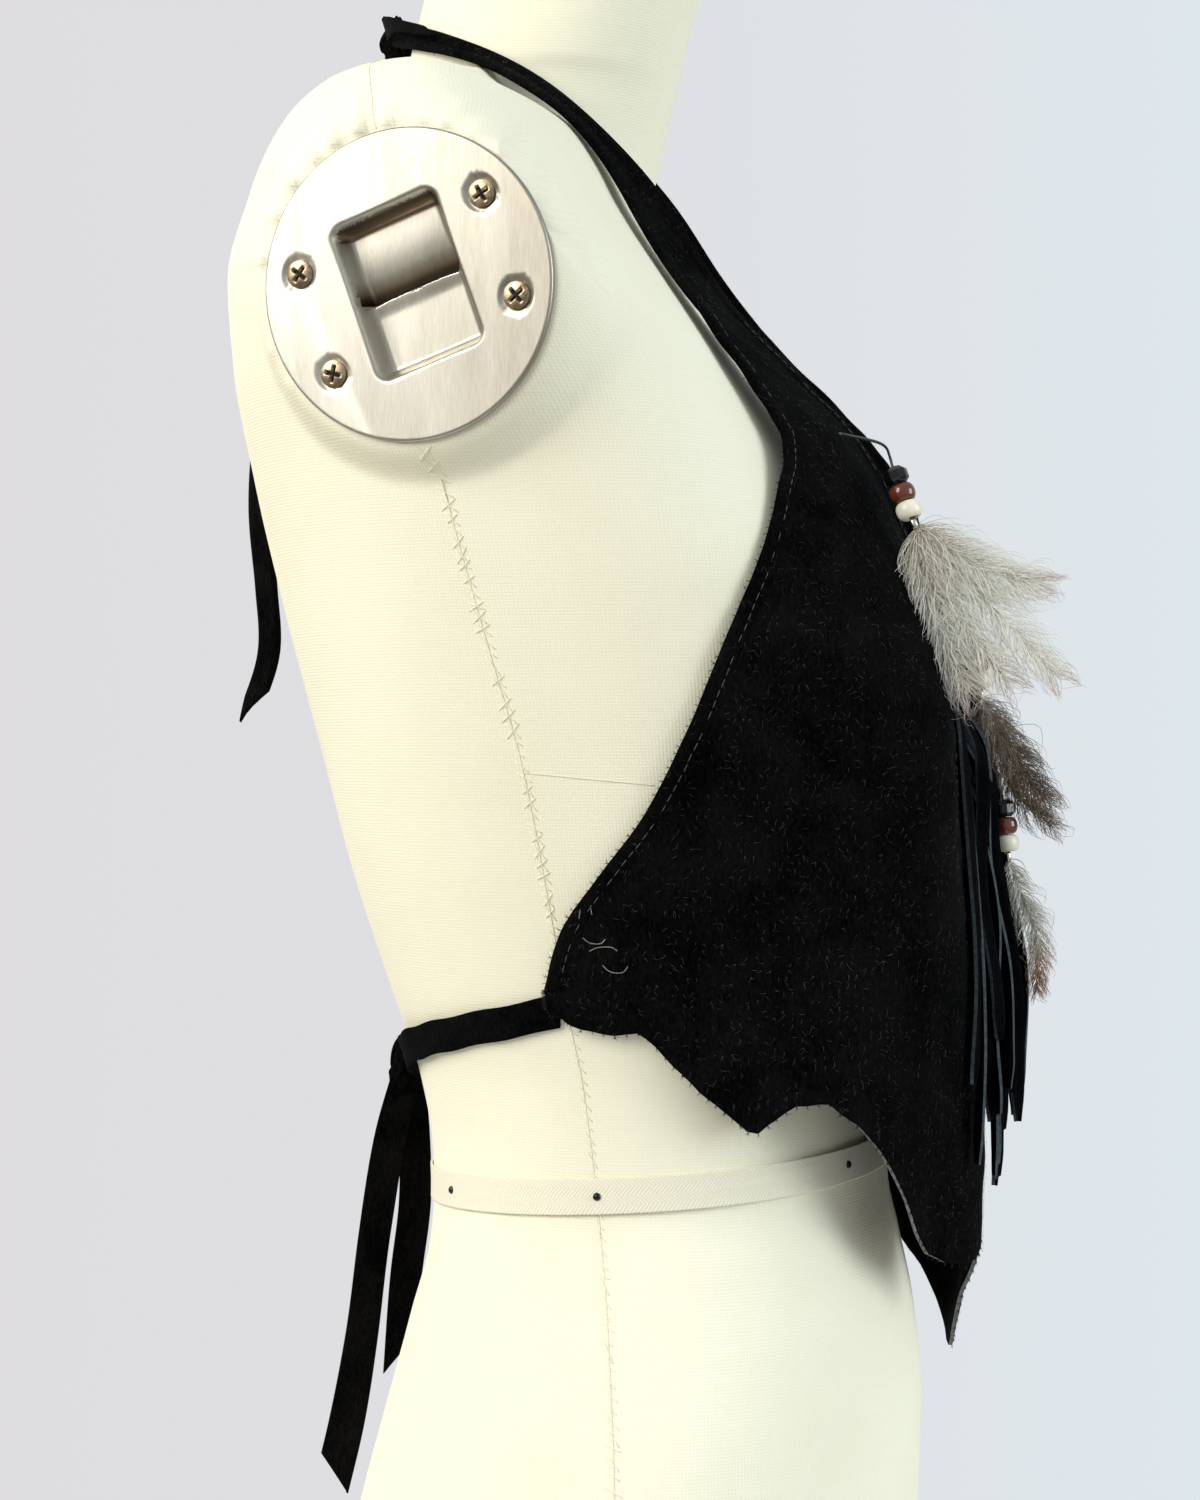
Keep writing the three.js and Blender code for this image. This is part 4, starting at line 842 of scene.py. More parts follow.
def screwHeads(name, side):
    # domed heads with a cross recess, turned a little differently each
    radial = np.array([0.01, 0.35, 0.7, 1.05, 1.4, 1.8, 2.2, 2.6, 3.1, 3.7, 4.3, 4.65, 4.8, 4.8])
    sides = 72
    turns = np.linspace(0, 2 * math.pi, sides + 1)[:-1]
    r, t = np.meshgrid(radial, turns, indexing="ij")
    points, faces, slots = [], [], []
    for k, (sx, sy) in enumerate(screwPlaces):
        x, y = r * np.cos(t), r * np.sin(t)
        spin = math.radians((12, 34, 58, 21)[k])
        u = x * math.cos(spin) + y * math.sin(spin)
        v = y * math.cos(spin) - x * math.sin(spin)
        arm = np.minimum(np.abs(u), np.abs(v))
        reach = np.maximum(np.abs(u), np.abs(v))
        cross = smoothStep((0.75 - arm) / 0.3) * smoothStep((2.9 - reach) / 0.5)
        dome = 0.45 - 0.75 * (r / plate["headRadius"]) ** 2.4
        z = dome - 1.25 * cross
        z[-1] = -plate["seatDepth"] - 0.05
        grid = np.stack([x + sx, y + sy, z], axis=-1)
        start = sum(len(p) for p in points)
        cells, _ = gridFaces(*grid.shape[:2], closed=True, start=start, turned=side < 0)
        points.append(fromPlate(grid.reshape(-1, 3), side))
        faces += [*cells]
        # the deepest part of each cross recess takes the painted shade
        deep = (cross > 0.45).ravel()
        slots += [int(all(deep[c - start] for c in f)) for f in cells] + [1, 0]
        inner = tuple(start + i for i in range(sides))
        faces.append(inner if side < 0 else inner[::-1])
        outer = tuple(start + (len(radial) - 1) * sides + i for i in range(sides))
        faces.append(outer[::-1] if side < 0 else outer)
    return addMesh(name, np.concatenate(points), faces, [screwMetal, paintedSlotShade], slots)


for sideName, side in (("Right", 1), ("Left", -1)):
    low = sideName.lower()
    settle(platePiece(f"plate{sideName}", side), "steel", f"plate_{low}")
    settle(screwHeads(f"screws{sideName}", side), "screw", *[f"screw_{low}_{k}" for k in (1, 2, 3, 4)])
print("stage: shoulder plates")

# suede panels, each with its neck strap cut in one
suedeThickness = 1.6
clothShape = {
    "z": [150, 210, 260, 310, 360, 405, 440, 471, 495, 516, 540, 562, 597, 628],
    "half": [116, 117, 119, 122, 130, 138, 142, 142, 140, 133, 126, 120, 110, 122],
    "front": [-116, -123, -124, -122, -118, -115, -109, -101, -95, -83, -62, -40, -13, 10],
    "square": [2.0, 2.0, 2.05, 2.1, 2.3, 2.5, 2.5, 2.4, 2.2, 2.1, 2, 2, 2, 2],
    "cup": [0, 3, 5, 8, 13, 17, 13, 7, 3, 2, 0, 0, 0, 0],
    "cupAngle": [16, 16, 20, 24, 30, 34, 34, 34, 34, 34, 34, 34, 34, 34],
    "cupSpread": 15, "clearance": suedeThickness + 0.8, "neckLift": 0.8, "neckFrom": 600, "strapLift": 2,
}
armholeEdge = {
    "z": [606, 583, 559, 537, 513, 502, 490, 468, 437, 406, 374, 353, 332, 312],
    "angle": [55.5, 50.5, 46.5, 46.5, 47, 49, 52.5, 58, 65, 71, 78.5, 86, 93.5, 97.5],
}
neckEdge = {"z": [604, 592, 562, 525, 500, 475, 455, 438], "aside": [47, 43, 38, 40, 40, 29, 13, 0]}
# the strap beyond the chest: its edge towards the neck and its edge towards the shoulder
neckStrap = {
    "neck": [(49, -5, 607), (53, 9.5, 626), (57, 24, 642), (59, 39, 652.5), (60, 54, 660), (56, 69, 667),
             (40, 85, 675), (20, 98.5, 681.5), (8.7, 103, 684.5)],
    "out": [(66, 0, 600), (69, 13.5, 619), (72, 27.5, 634), (73, 40, 643.5), (72, 53.5, 651), (66, 69, 657),
            (47, 86, 665), (22, 101, 672), (8.7, 106.5, 675.5)],
}
hems = {
    1: {"angle": [97.5, 95.5, 91.5, 86, 82, 72.5, 63, 55.5, 50.5, 45, 39.5, 33.5, 29.5, 25, 19, 13.5, 7, 0],
        "z": [304, 301, 298, 295, 296, 277, 259, 270, 271, 261, 249, 234, 221, 212, 206, 204, 209, 219]},
    -1: {"angle": [97.5, 94, 88, 81, 71, 62, 56, 50, 44, 38, 31, 26, 21, 13, 6, 0],
         "z": [304, 299, 294, 291, 272, 254, 262, 226, 201, 187, 168, 157, 164, 184, 205, 213]},
}
# soft folds: angle, half width in degrees, rise, and the heights between which each grows
folds = {
    1: [(58, 8, -4, 360, 262), (44, 9, 5, 350, 255), (22, 7, -4, 330, 225), (9, 6, 2, 320, 220),
        (49, 5, -2, 480, 560)],
    -1: [(62, 9, 4, 350, 262), (46, 8, -4, 360, 225), (30, 8, 5, 330, 190), (14, 6, -3, 320, 190),
         (49, 5, -2, 480, 560)],
}
# creases, listed one by one: from and to as (angle, z), half width and depth in millimetres
creases = {
    1: [((16, 432), (13, 250), 4.5, -1.5), ((24, 418), (21, 330), 5, -0.9), ((60, 455), (38, 420), 6, -0.8),
        ((80, 370), (52, 352), 6, -1.0), ((88, 330), (60, 318), 5, -1.1), ((70, 305), (50, 330), 4, 0.9),
        ((34, 360), (29, 232), 5, 1.2), ((52, 490), (44, 440), 4, -0.8), ((7, 400), (5, 300), 3, -0.8),
        ((93, 318), (74, 344), 3.5, 0.8), ((47, 320), (41, 262), 3.5, -0.9)],
    -1: [((14, 430), (12, 260), 4.5, -1.4), ((26, 415), (22, 320), 5, -1.0), ((62, 450), (40, 424), 6, -0.9),
         ((82, 366), (55, 348), 6, -1.0), ((86, 326), (62, 312), 5, -1.0), ((66, 300), (52, 326), 4, 0.9),
         ((38, 350), (33, 200), 5, 1.3), ((50, 486), (42, 436), 4, -0.8), ((92, 316), (72, 340), 3.5, 0.8)],
}
panelShape = {
    "cornerAngle": 97.5, "corner": 312, "strapTop": 592,
    "strapRows": 78, "chestRows": 118, "skirtRows": 48, "middleColumns": 58,
    "edgeColumns": [0, 0.5, 1.4, 2.6, 4.0, 5.0, 5.8, 6.5, 7.0, 7.5, 8.3, 9.6],
    "strapProud": {1: 6.5, -1: 0.0}, "proudHeight": 601,
    "bandWidth": 7.0, "bandLift": 1.0, "stitchIn": 5.4, "hemFray": 0.9,
    "neckPoint": 438, "strapFoot": 560, "easedPast": 14,
}
clothAt = {key: column(clothShape, "z", key) for key in ("half", "front", "square", "cup", "cupAngle")}
armholeAt = column(armholeEdge, "z", "angle")
asideAt = column(neckEdge, "z", "aside")


def foldRise(side, angle, z):
    total = 0 * angle
    for place, spread, rise, start, end in folds[side]:
        total = total + rise * bell((angle - place) / spread) * smoothStep((z - start) / (end - start))
    return total


def clothRadius(side, angle, z):
    turned = np.abs(angle)
    depth = formAt["mid"](z) - clothAt["front"](z)
    cup = clothAt["cup"](z) * bell((turned - clothAt["cupAngle"](z)) / clothShape["cupSpread"])
    own = ovalRadius(angle, clothAt["half"](z), depth, clothAt["square"](z))
    least = formRadius(angle, z) + clothShape["clearance"]
    return smoothMax(own + cup + foldRise(side, turned, z), least, 2)


def angleAt(side, aside, z):
    angle = 0 * z + 0.0
    for _ in range(8):
        angle = np.degrees(np.arcsin(np.minimum(0.99, aside / clothRadius(side, angle, z))))
    return angle


def onCloth(side, angle, z):
    gap = clothShape["clearance"] + clothShape["neckLift"] * (z > clothShape["neckFrom"])
    return clearOfForm(around(side * angle, z, clothRadius(side, angle, z)), gap)


def panelRows(side, shares):
    # points of one panel from the nape to the hem; shares is one row of shares, or a row for each
    hem = hems[side]
    order = np.argsort(hem["angle"])

    def hemHeight(angle):
        return np.interp(angle, np.array(hem["angle"], float)[order], np.array(hem["z"], float)[order])

    def chest(z, share):
        edge = armholeAt(z)
        return onCloth(side, edge + (angleAt(side, asideAt(z), z) - edge) * share, z + 0 * share)

    s = panelShape
    gap = clothShape["clearance"] + clothShape["strapLift"]
    curves = []
    for key, end in (("neck", 1.0), ("out", 0.0)):
        laid = [clearOfForm(np.array([-side * a, b, h], float), gap) for a, b, h in reversed(neckStrap[key])]
        tail = [chest(np.array([z]), np.array([end]))[0] for z in (s["strapTop"], s["strapTop"] - 22.0)]
        curves.append(smoothCurve(laid + tail))
    strapShare = len(neckStrap["neck"]) / (len(neckStrap["neck"]) + 1)
    rows = []
    count = s["strapRows"] + s["chestRows"] + s["skirtRows"]
    shares = np.broadcast_to(shares, (count, np.shape(shares)[-1]))
    for j in range(s["strapRows"]):
        t = strapShare * j / s["strapRows"]
        inner, outer = curves[0](t), curves[1](t)
        row = outer + (inner - outer) * shares[j][:, None]
        rows.append(clearOfForm(row, gap))
    for j in range(s["chestRows"]):
        z = s["strapTop"] + (s["corner"] - s["strapTop"]) * j / (s["chestRows"] - 1)
        share = shares[s["strapRows"] + j]
        rows.append(chest(z + 0 * share, share))
    for j in range(1, s["skirtRows"] + 1):
        angle = s["cornerAngle"] * (1 - shares[count - s["skirtRows"] + j - 1])
        z = s["corner"] + (hemHeight(angle) - s["corner"]) * j / s["skirtRows"]
        rows.append(onCloth(side, angle, z))
    return np.array(rows)


def runAlong(grid):
    step = np.linalg.norm(np.diff(grid, axis=1), axis=2)
    return np.concatenate([np.zeros((len(grid), 1)), np.cumsum(step, axis=1)], axis=1)


def panelShares(side):
    # columns stand close together along both edges, where the turned band and its stitches lie
    coarse = np.linspace(0, 1, 33)
    run = runAlong(panelRows(side, coarse))
    edge = np.array(panelShape["edgeColumns"])
    table = []
    for row in run:
        wide = row[-1]
        band = edge * min(1, 0.44 * wide / edge[-1])
        middle = np.linspace(band[-1], wide - band[-1], panelShape["middleColumns"] + 2)[1:-1]
        table.append(np.interp(np.concatenate([band, middle, (wide - band)[::-1]]), row, coarse))
    return np.array(table)


def raggedness(count, size, seed):
    own = np.random.default_rng(seed)
    rough = own.normal(0, 1, count)
    soft = np.convolve(rough, [0.25, 0.5, 0.25], mode="same")
    long = np.convolve(rough, np.ones(9) / 9, mode="same") * 2
    return size * (0.6 * soft + 0.7 * long)


def creaseRise(side, grid):
    # distance of each point from a crease's line, measured over the cloth's angle and height
    angle = np.degrees(np.arctan2(-side * grid[..., 0], formAt["mid"](grid[..., 2]) - grid[..., 1]))
    z = grid[..., 2]
    rise = 0 * z
    perDegree = 2.2
    for (a0, z0), (a1, z1), wide, depth in creases[side]:
        dx, dz = (a1 - a0) * perDegree, z1 - z0
        t = np.clip((((angle - a0) * perDegree) * dx + (z - z0) * dz) / (dx * dx + dz * dz), 0, 1)
        off = np.hypot((angle - a0) * perDegree - t * dx + 3 * np.sin(t * 5), z - z0 - t * dz)
        rise = rise + depth * bell(off / wide) * np.sin(math.pi * np.clip(t, 0.04, 0.96)) ** 0.7
    return rise


def easedRows(grid, last, spread):
    # evens out the rows of the strap, and leaves the chest as it is
    reach = np.arange(-3 * spread, 3 * spread + 1)
    weights = bell(reach / (1.4 * spread))
    weights = weights / weights.sum()
    rows = len(grid)
    source = np.concatenate([2 * grid[:1] - grid[3 * spread:0:-1], grid, grid[-3 * spread:]])
    soft = sum(w * source[k:k + rows] for k, w in enumerate(weights))
    fade = smoothStep((last - np.arange(rows)) / 12)[:, None, None]
    return grid + (soft - grid) * fade


def panelPiece(name, side):
    s = panelShape
    shares = panelShares(side)
    grid = panelRows(side, shares)
    sign = outwardOf(grid[s["strapRows"]:])
    normals = gridNormals(grid) * sign
    run = runAlong(grid)
    fromArm, fromNeck = run, run[:, -1:] - run
    row = np.arange(len(grid))[:, None]
    aboveSkirt = row < s["strapRows"] + s["chestRows"]
    vRow = s["strapRows"] + (s["strapTop"] - s["neckPoint"]) / (s["strapTop"] - s["corner"]) * s["chestRows"]
    aboveSeam = row < vRow
    band = smoothStep((s["bandWidth"] - fromArm) / 0.9) * aboveSkirt
    neckBand = smoothStep((s["bandWidth"] - fromNeck) / 0.9) * aboveSeam
    groove = bell((fromArm - s["stitchIn"]) / 0.8) * aboveSkirt
    groove = groove + bell((fromNeck - s["stitchIn"]) / 0.8) * aboveSeam
    seam = bell(fromNeck / 2.2) * (row >= vRow)
    wobble = 0.2 * np.sin(row * 0.9 + 1.3 * np.sin(row * 0.23)) * (row > s["strapRows"] + 10)
    lift = s["bandLift"] * np.maximum(band, neckBand) * (1 + wobble) - 0.45 * groove - 1.4 * seam
    # the turned edge itself rolls back towards the form
    lift = lift - 0.8 * bell(fromArm / 0.7) * aboveSkirt - 0.8 * bell(fromNeck / 0.7) * aboveSeam
    lift = lift + creaseRise(side, grid)
    x, z = grid[..., 0], grid[..., 2]
    soft = 0.35 * (z < s["strapFoot"]) * np.sin(z * 0.21 + x * 0.13) * np.sin(z * 0.07 - x * 0.19)
    grid = grid + normals * (lift + soft)[..., None]
    fade = smoothStep((row - (len(grid) - 7)) / 6)[..., None]
    ragged = raggedness(grid.shape[1], s["hemFray"], 5 + side)
    grid = grid + fade * np.array([0, 0, 1]) * ragged[None, :, None]
    # each panel stays on its own side of the centre seam
    keep = 0.35 + 0.1 * (grid[..., 2] > s["neckPoint"])
    grid[..., 0] = np.where(side * grid[..., 0] > -keep, -side * keep, grid[..., 0])
    proud = s["strapProud"][side] * bell((grid[..., 2] - s["proudHeight"]) / 20) * run / run[:, -1:]
    grid[..., 1] -= proud
    clear = grid[..., 2] > s["strapFoot"]
    for spread in (6, 3):
        grid = easedRows(grid, s["strapRows"] + s["easedPast"], spread)
        grid = np.where(clear[..., None], clearOfForm(grid, suedeThickness + 0.7), grid)
    points, faces, slots, uv = shell(grid, suedeThickness, sign)
    # only the hem is raw: the turned edges show the suede's face
    rimStart = len(faces) - 2 * (grid.shape[1] - 1) - 2 * (len(grid) - 1)
    hemStart = rimStart + grid.shape[1] - 1
    slots = [1 if hemStart <= k < hemStart + grid.shape[1] - 1 else 0 for k in range(len(faces))]
    flat = [v == 1 for v in slots]
    piece = addMesh(name, points, faces, [suedeFace, suedeEdge], slots, flat=flat, uv=uv)
    return piece, grid, gridNormals(grid) * sign, run


panels = {}
for sideName, side in (("Right", 1), ("Left", -1)):
    piece, grid, normals, run = panelPiece(f"panel{sideName}", side)
    settle(piece, "suede", f"panel_{sideName.lower()}")
    panels[side] = {"piece": piece, "grid": grid, "normals": normals, "run": run}
print("stage: suede panels")


def atRun(side, j, distance, lift):
    # a point of a panel's row, at a distance from its armhole edge, or from the other edge if negative
    p = panels[side]
    run = p["run"][j]
    want = distance if distance >= 0 else run[-1] + distance
    point = np.array([np.interp(want, run, p["grid"][j][:, k]) for k in range(3)])
    normal = np.array([np.interp(want, run, p["normals"][j][:, k]) for k in range(3)])
    return point + unit(normal) * lift


# topstitches: lengths in millimetres, and the share of them that is left
topstitch = {
    "firstRow": 14, "neckEnd": 445, "long": 2.7, "longer": 0.5, "between": 1.1, "left": 0.8,
    "radii": [0.08, 0.17, 0.17, 0.08],
}


def topStitching(name, side):
    # short dashes along the turned bands, some worn away
    s, d = panelShape, topstitch
    last = s["strapRows"] + s["chestRows"]
    above = (s["strapTop"] - d["neckEnd"]) / (s["strapTop"] - s["corner"])
    neckLast = s["strapRows"] + int(above * s["chestRows"])
    paths = []
    for distance, end in ((s["stitchIn"], last - 1), (-s["stitchIn"], neckLast)):
        stitched = range(s["strapRows"] + d["firstRow"], end, 2)
        line = np.array([atRun(side, j, distance, 0.18) for j in stitched])
        run = np.concatenate([[0], np.cumsum(np.linalg.norm(np.diff(line, axis=0), axis=1))])
        place = 2.0
        while place < run[-1] - 4:
            length = d["long"] + d["longer"] * dice.random()
            if dice.random() < d["left"]:
                want = np.linspace(place, place + length, 4)
                dash = np.stack([np.interp(want, run, line[:, k]) for k in range(3)], axis=1)
                paths.append(dash + dice.normal(0, 0.06, 3))
            place += length + d["between"]
    paths = np.array(paths)
    radii = np.broadcast_to(d["radii"], paths.shape[:2])
    points, faces, _ = tubes(paths, radii, 5)
    return addMesh(name, points, faces, [greyThread])


lintFibres = {"count": 3600, "length": 1.9, "radius": 0.042, "material": lint, "edgeOnly": False, "seed": 31}
edgeFibres = {"count": 1500, "length": 1.3, "radius": 0.1, "material": napFuzz, "edgeOnly": True, "seed": 41}


def fibres(name, side, count, length, radius, material, edgeOnly, seed):
    # lint and loose hairs over the nap, or short fuzz along the cut edges
    own = np.random.default_rng(seed + side)
    p = panels[side]
    grid, normals = p["grid"], p["normals"]
    rows, columns = grid.shape[:2]
    patch = np.linalg.norm(np.cross(np.gradient(grid, axis=0), np.gradient(grid, axis=1)), axis=2)
    patch[:8] = 0
    patch[-1] = 0
    which = own.choice(rows * columns, count, p=(patch / patch.sum()).ravel())
    j, i = which // columns, which % columns
    if edgeOnly:
        onHem = own.random(count) < 0.35
        j = np.where(onHem, rows - 1, j)
        i = np.where(onHem, i, np.where(own.random(count) < 0.5, 0, columns - 1))
    start = grid[j, i]
    normal = unit(normals[j, i])
    random = unit(own.normal(0, 1, (count, 3)))
    if edgeOnly:
        inward = np.where(i < columns // 2, 3, -3)
        outwards = unit(start - grid[j, np.clip(i + inward, 0, columns - 1)])
        down = unit(start - grid[np.clip(j - 3, 0, rows - 1), i])
        outwards = np.where((j == rows - 1)[:, None], down, outwards)
        flow = unit(outwards + 0.5 * random)
    else:
        random = random + [0, 0, -0.6]
        flow = unit(random - normal * np.sum(random * normal, axis=1, keepdims=True))
        start = start + normal * 0.35
    size = length * (0.4 + own.random(count))[:, None, None]
    t = np.linspace(0, 1, 4)[None, :, None]
    bend = unit(np.cross(flow, normal)) * own.normal(0, 0.5, (count, 1))
    paths = start[:, None] + size * (flow[:, None] * t + bend[:, None] * t * t * 0.7)
    if not edgeOnly:
        paths = paths + normal[:, None] * 0.25 * np.sin(t * 3)
    radii = radius * np.broadcast_to(np.linspace(1, 0.35, 4), paths.shape[:2])
    points, faces, _ = tubes(paths, radii, 3)
    return addMesh(name, points, faces, [material])


for sideName, side in (("Right", 1), ("Left", -1)):
    settle(topStitching(f"topstitch{sideName}", side), "suede")
    settle(fibres(f"lint{sideName}", side, **lintFibres), "suede")
    settle(fibres(f"edgeFuzz{sideName}", side, **edgeFibres), "suede")

# loose threads: rows above the corner, distance from the edge, and how far each bends over and up
looseEnds = {
    "row": [11, 8, 6, 4], "along": [4, 9, 13, 19],
    "bend": [(4.5, 6.5), (8, -2), (10, 1.5), (9, -2.5)], "radius": 0.17,
}


def looseThreads():
    # a hooked thread and a few loose ends beside the right panel's side corner
    last = panelShape["strapRows"] + panelShape["chestRows"] - 1
    paths = []
    for row, along, (right, up) in zip(looseEnds["row"], looseEnds["along"], looseEnds["bend"]):
        start = atRun(1, last - row, along, 0.5)
        beside = atRun(1, last - row, along + 8, 0.5)
        over = unit(beside - start)
        rise = np.array([0, 0, 1.0])
        way = [start, start + over * right * 0.3 + rise * up * 0.9,
               start + over * right * 0.8 + rise * up, start + over * right + rise * up * 0.2]
        paths.append(evenly(clearOfForm(np.array(way), 3.4), 18))
    paths = np.array(paths)
    points, faces, _ = tubes(paths, np.full(paths.shape[:2], looseEnds["radius"]), 5)
    return addMesh("looseThreads", points, faces, [paleThread])


settle(looseThreads(), "suede")
print("stage: stitching and lint")

# back straps: angles round the form, heights and distance off it
backStrap = {
    "start": panelShape["cornerAngle"] - 1.6, "end": 175.6, "high": 304.5, "low": 273, "wide": 12,
    "off": 0.8, "lift": 4.2, "across": [-0.5, -0.47, -0.3, -0.1, 0.1, 0.3, 0.47, 0.5],
}


def strapPiece(name, side):
    s = backStrap
    share = np.linspace(0, 1, 90)
    angle = s["start"] + (s["end"] - s["start"]) * share
    middle = s["high"] + (s["low"] - s["high"]) * share ** 0.9
    tucked = 0.5 * smoothStep((0.06 - share) / 0.04)
    off = s["off"] - tucked + s["lift"] * share ** 2 + suedeThickness
    grid = []
    for k in s["across"]:
        z = middle + k * s["wide"] + 0.25 * np.sin(share * 37 + k)
        ripple = 0.4 * np.sin(share * 23 + 3 * k) * np.sin(share * math.pi)
        roll = -0.5 * (abs(k) > 0.49)
        radius = formRadius(side * angle, z) + off + np.maximum(ripple, 0) + roll
        grid.append(around(side * angle, z, radius))
    grid = np.array(grid)
    points, faces, slots, uv = shell(grid, suedeThickness, outwardOf(grid))
    return addMesh(name, points, faces, [suedeFace, suedeFace], slots, uv=uv)


def tie(name, points, width, across, thickness=suedeThickness, curl=0.0, edge=None, count=70, slant=0.0):
    # flat strip along a path; across gives its width direction, curl cups it, slant cuts its end askew
    path = evenly(points, count)
    share = np.linspace(0, 1, count + 1)
    along = unit(np.gradient(path, axis=0))
    side = unit(np.array([across(x) for x in share], float))
    face = unit(np.cross(along, side))
    half = np.array([width(x) for x in share]) / 2
    grid = []
    for k in (-1, -0.94, -0.5, 0, 0.5, 0.94, 1):
        cup = curl * (k * k) - 0.3 * (abs(k) > 0.95)
        line = path + side * (half * k)[:, None] + face * (cup + thickness / 2)
        kept = share * (1 - abs(slant) * (1 - k * (1 if slant > 0 else -1)) / 2)
        grid.append(np.stack([np.interp(kept, share, line[:, c]) for c in range(3)], axis=1))
    grid = np.array(grid)
    normals = gridNormals(grid)
    sign = 1 if np.sum(normals[3] * face) > 0 else -1
    points, faces, slots, uv = shell(grid, thickness, sign)
    return addMesh(name, points, faces, [suedeFace, edge or suedeFace], slots, uv=uv)


def knotPiece(name, centre, size, wraps, seed, peak=0.0):
    # pulled knot: a rounded lump with the strap's turns standing out of it
    rows, columns = 60, 96
    lat = np.linspace(-math.pi / 2, math.pi / 2, rows)[:, None]
    lon = np.linspace(0, 2 * math.pi, columns + 1)[None, :-1]
    x, y, z = np.cos(lat) * np.cos(lon), np.cos(lat) * np.sin(lon), np.sin(lat) + 0 * lon
    lump = 1 + 0.0 * x
    for slant, turn, offset in wraps:
        band = x * math.sin(slant) * math.cos(turn) + y * math.sin(slant) * math.sin(turn)
        band = band + z * math.cos(slant)
        lump = lump + 0.13 * smoothStep((0.36 - np.abs(band - offset)) / 0.12)
        lump = lump - 0.05 * bell((np.abs(band - offset) - 0.36) / 0.06)
    lump = lump * (1 + 0.015 * np.sin(9 * x + 4 * z + seed))
    narrow = 1 - peak * smoothStep((z + 0.35) / 1.35)
    x, y = x * narrow, y * narrow
    grid = np.stack([x * lump * size[0], y * lump * size[1], z * lump * size[2]], axis=-1) + centre
    faces, _ = gridFaces(rows, columns, closed=True)
    return addMesh(name, grid.reshape(-1, 3), faces, [suedeFace])


backStraps = [
    settle(strapPiece("backStrapRight", 1), "suede", "back_strap_right"),
    settle(strapPiece("backStrapLeft", -1), "suede", "back_strap_left"),
]
# knots: each wrap is its slant, its turn and its distance from the middle
knots = {
    "backKnot": {"centre": (0, 103, 272), "size": (7.9, 6.0, 11),
                 "wraps": [(1.35, 0.3, 0.1), (0.5, 1.2, -0.1), (1.2, 2.2, 0.3)], "seed": 1},
    "neckKnot": {"centre": (0, 107.5, 680.5), "size": (7.6, 5.6, 8.6),
                 "wraps": [(1.3, 0.2, 0.0), (0.45, 1.0, 0.2), (1.1, 2.4, -0.2)], "seed": 2, "peak": 0.72},
}
settle(knotPiece("backKnot", **knots["backKnot"]), "suede", "back_knot")
settle(knotPiece("neckKnot", **knots["neckKnot"]), "suede", "neck_knot")

# hanging ends: width and width direction are worked out from the share of the length
looseTies = {
    "backTieLong": {
        "points": [(-2, 103, 268), (-5, 108.5, 245), (-6, 115, 205), (-5, 120.5, 165), (-2, 127.5, 130),
                   (2, 136, 99)],
        "width": lambda s: 12 + 2.6 * s + 0.5 * math.sin(9 * s),
        "across": lambda s: (0.42, -0.9, -0.1), "curl": 0.5, "slant": 0.10,
    },
    "backTieShort": {
        "points": [(3, 102.8, 268), (8, 102.5, 242), (10, 103, 215), (11, 107, 185), (11, 110.5, 146)],
        "width": lambda s: 12 + 1.6 * math.sin(3.1 * s),
        "across": lambda s: (0.55, -0.83, -0.06), "curl": 0.5, "slant": -0.12,
    },
    "neckTieLong": {
        "points": [(1, 108.5, 675), (1, 113, 661), (1, 122, 649), (1, 135.5, 636), (1, 149, 618),
                   (1, 158.5, 597), (1, 164.5, 560), (1, 166.5, 525), (1, 166, 495), (1, 162.5, 462),
                   (1, 161.5, 436), (1, 171, 408)],
        "width": lambda s: (9 + 2 * smoothStep((s - 0.5) * 4)) * min(1, (1.06 - s) / 0.1),
        "across": lambda s: (
            0.8 - 0.45 * smoothStep((s - 0.45) * 3), 0.1 + 0.8 * smoothStep((s - 0.45) * 3), 0.05),
        "curl": 0.4, "count": 140, "slant": 0.05,
    },
    "neckTieShort": {
        "points": clearOfForm(np.array([
            (-11, 108.4, 682), (-22, 104.3, 680.5), (-36, 97, 677.5), (-49, 87.5, 673),
            (-61, 77, 668.5)]), 2),
        "width": lambda s: 10 - 5.5 * smoothStep(s * 1.3) + 0.5 * math.sin(11 * s),
        "across": lambda s: (0.2, 0.3, 0.93), "curl": 0.3, "slant": -0.1,
    },
}
backTieLong = settle(tie("backTieLong", **looseTies["backTieLong"]), "suede", "back_tie_long")
backTieShort = settle(tie("backTieShort", **looseTies["backTieShort"]), "suede", "back_tie_short")
neckTieLong = settle(tie("neckTieLong", **looseTies["neckTieLong"]), "suede", "neck_tie_long")
neckTieShort = settle(tie("neckTieShort", **looseTies["neckTieShort"]), "suede", "neck_tie_short")
print("stage: straps and knots")

# fringe: a column for each setting, a place in it for each strand of one side
fringe = {
    "root": [428, 416, 404, 392, 378, 362, 420, 408, 396, 424, 414, 400],
    "aside": [38, 32, 26, 20, 14, 9, 29, 21.5, 14.5, 10, 15, 24],
    "proud": [3.2, 3.6, 3.9, 4.3, 4.6, 5, 8, 10, 11, 9.5, 13, 7.5],
    "end": [268, 244, 262, 231, 272, 240, 284, 276, 265, 288, 262, 255],
    "width": [5, 5.5, 4.6, 5.2, 4.4, 4.6, 5.2, 5.6, 4.8, 5.4, 5, 4.6],
    "twist": [20, -30, 40, -25, 50, -40, 46, -54, 60, -42, 62, -38],
    "top": 434, "bottom": 336, "inner": 1.2, "strip": 6.5, "thickness": 1.3, "lift": 0.6,
    "sway": {1: 6, -1: 9},
}


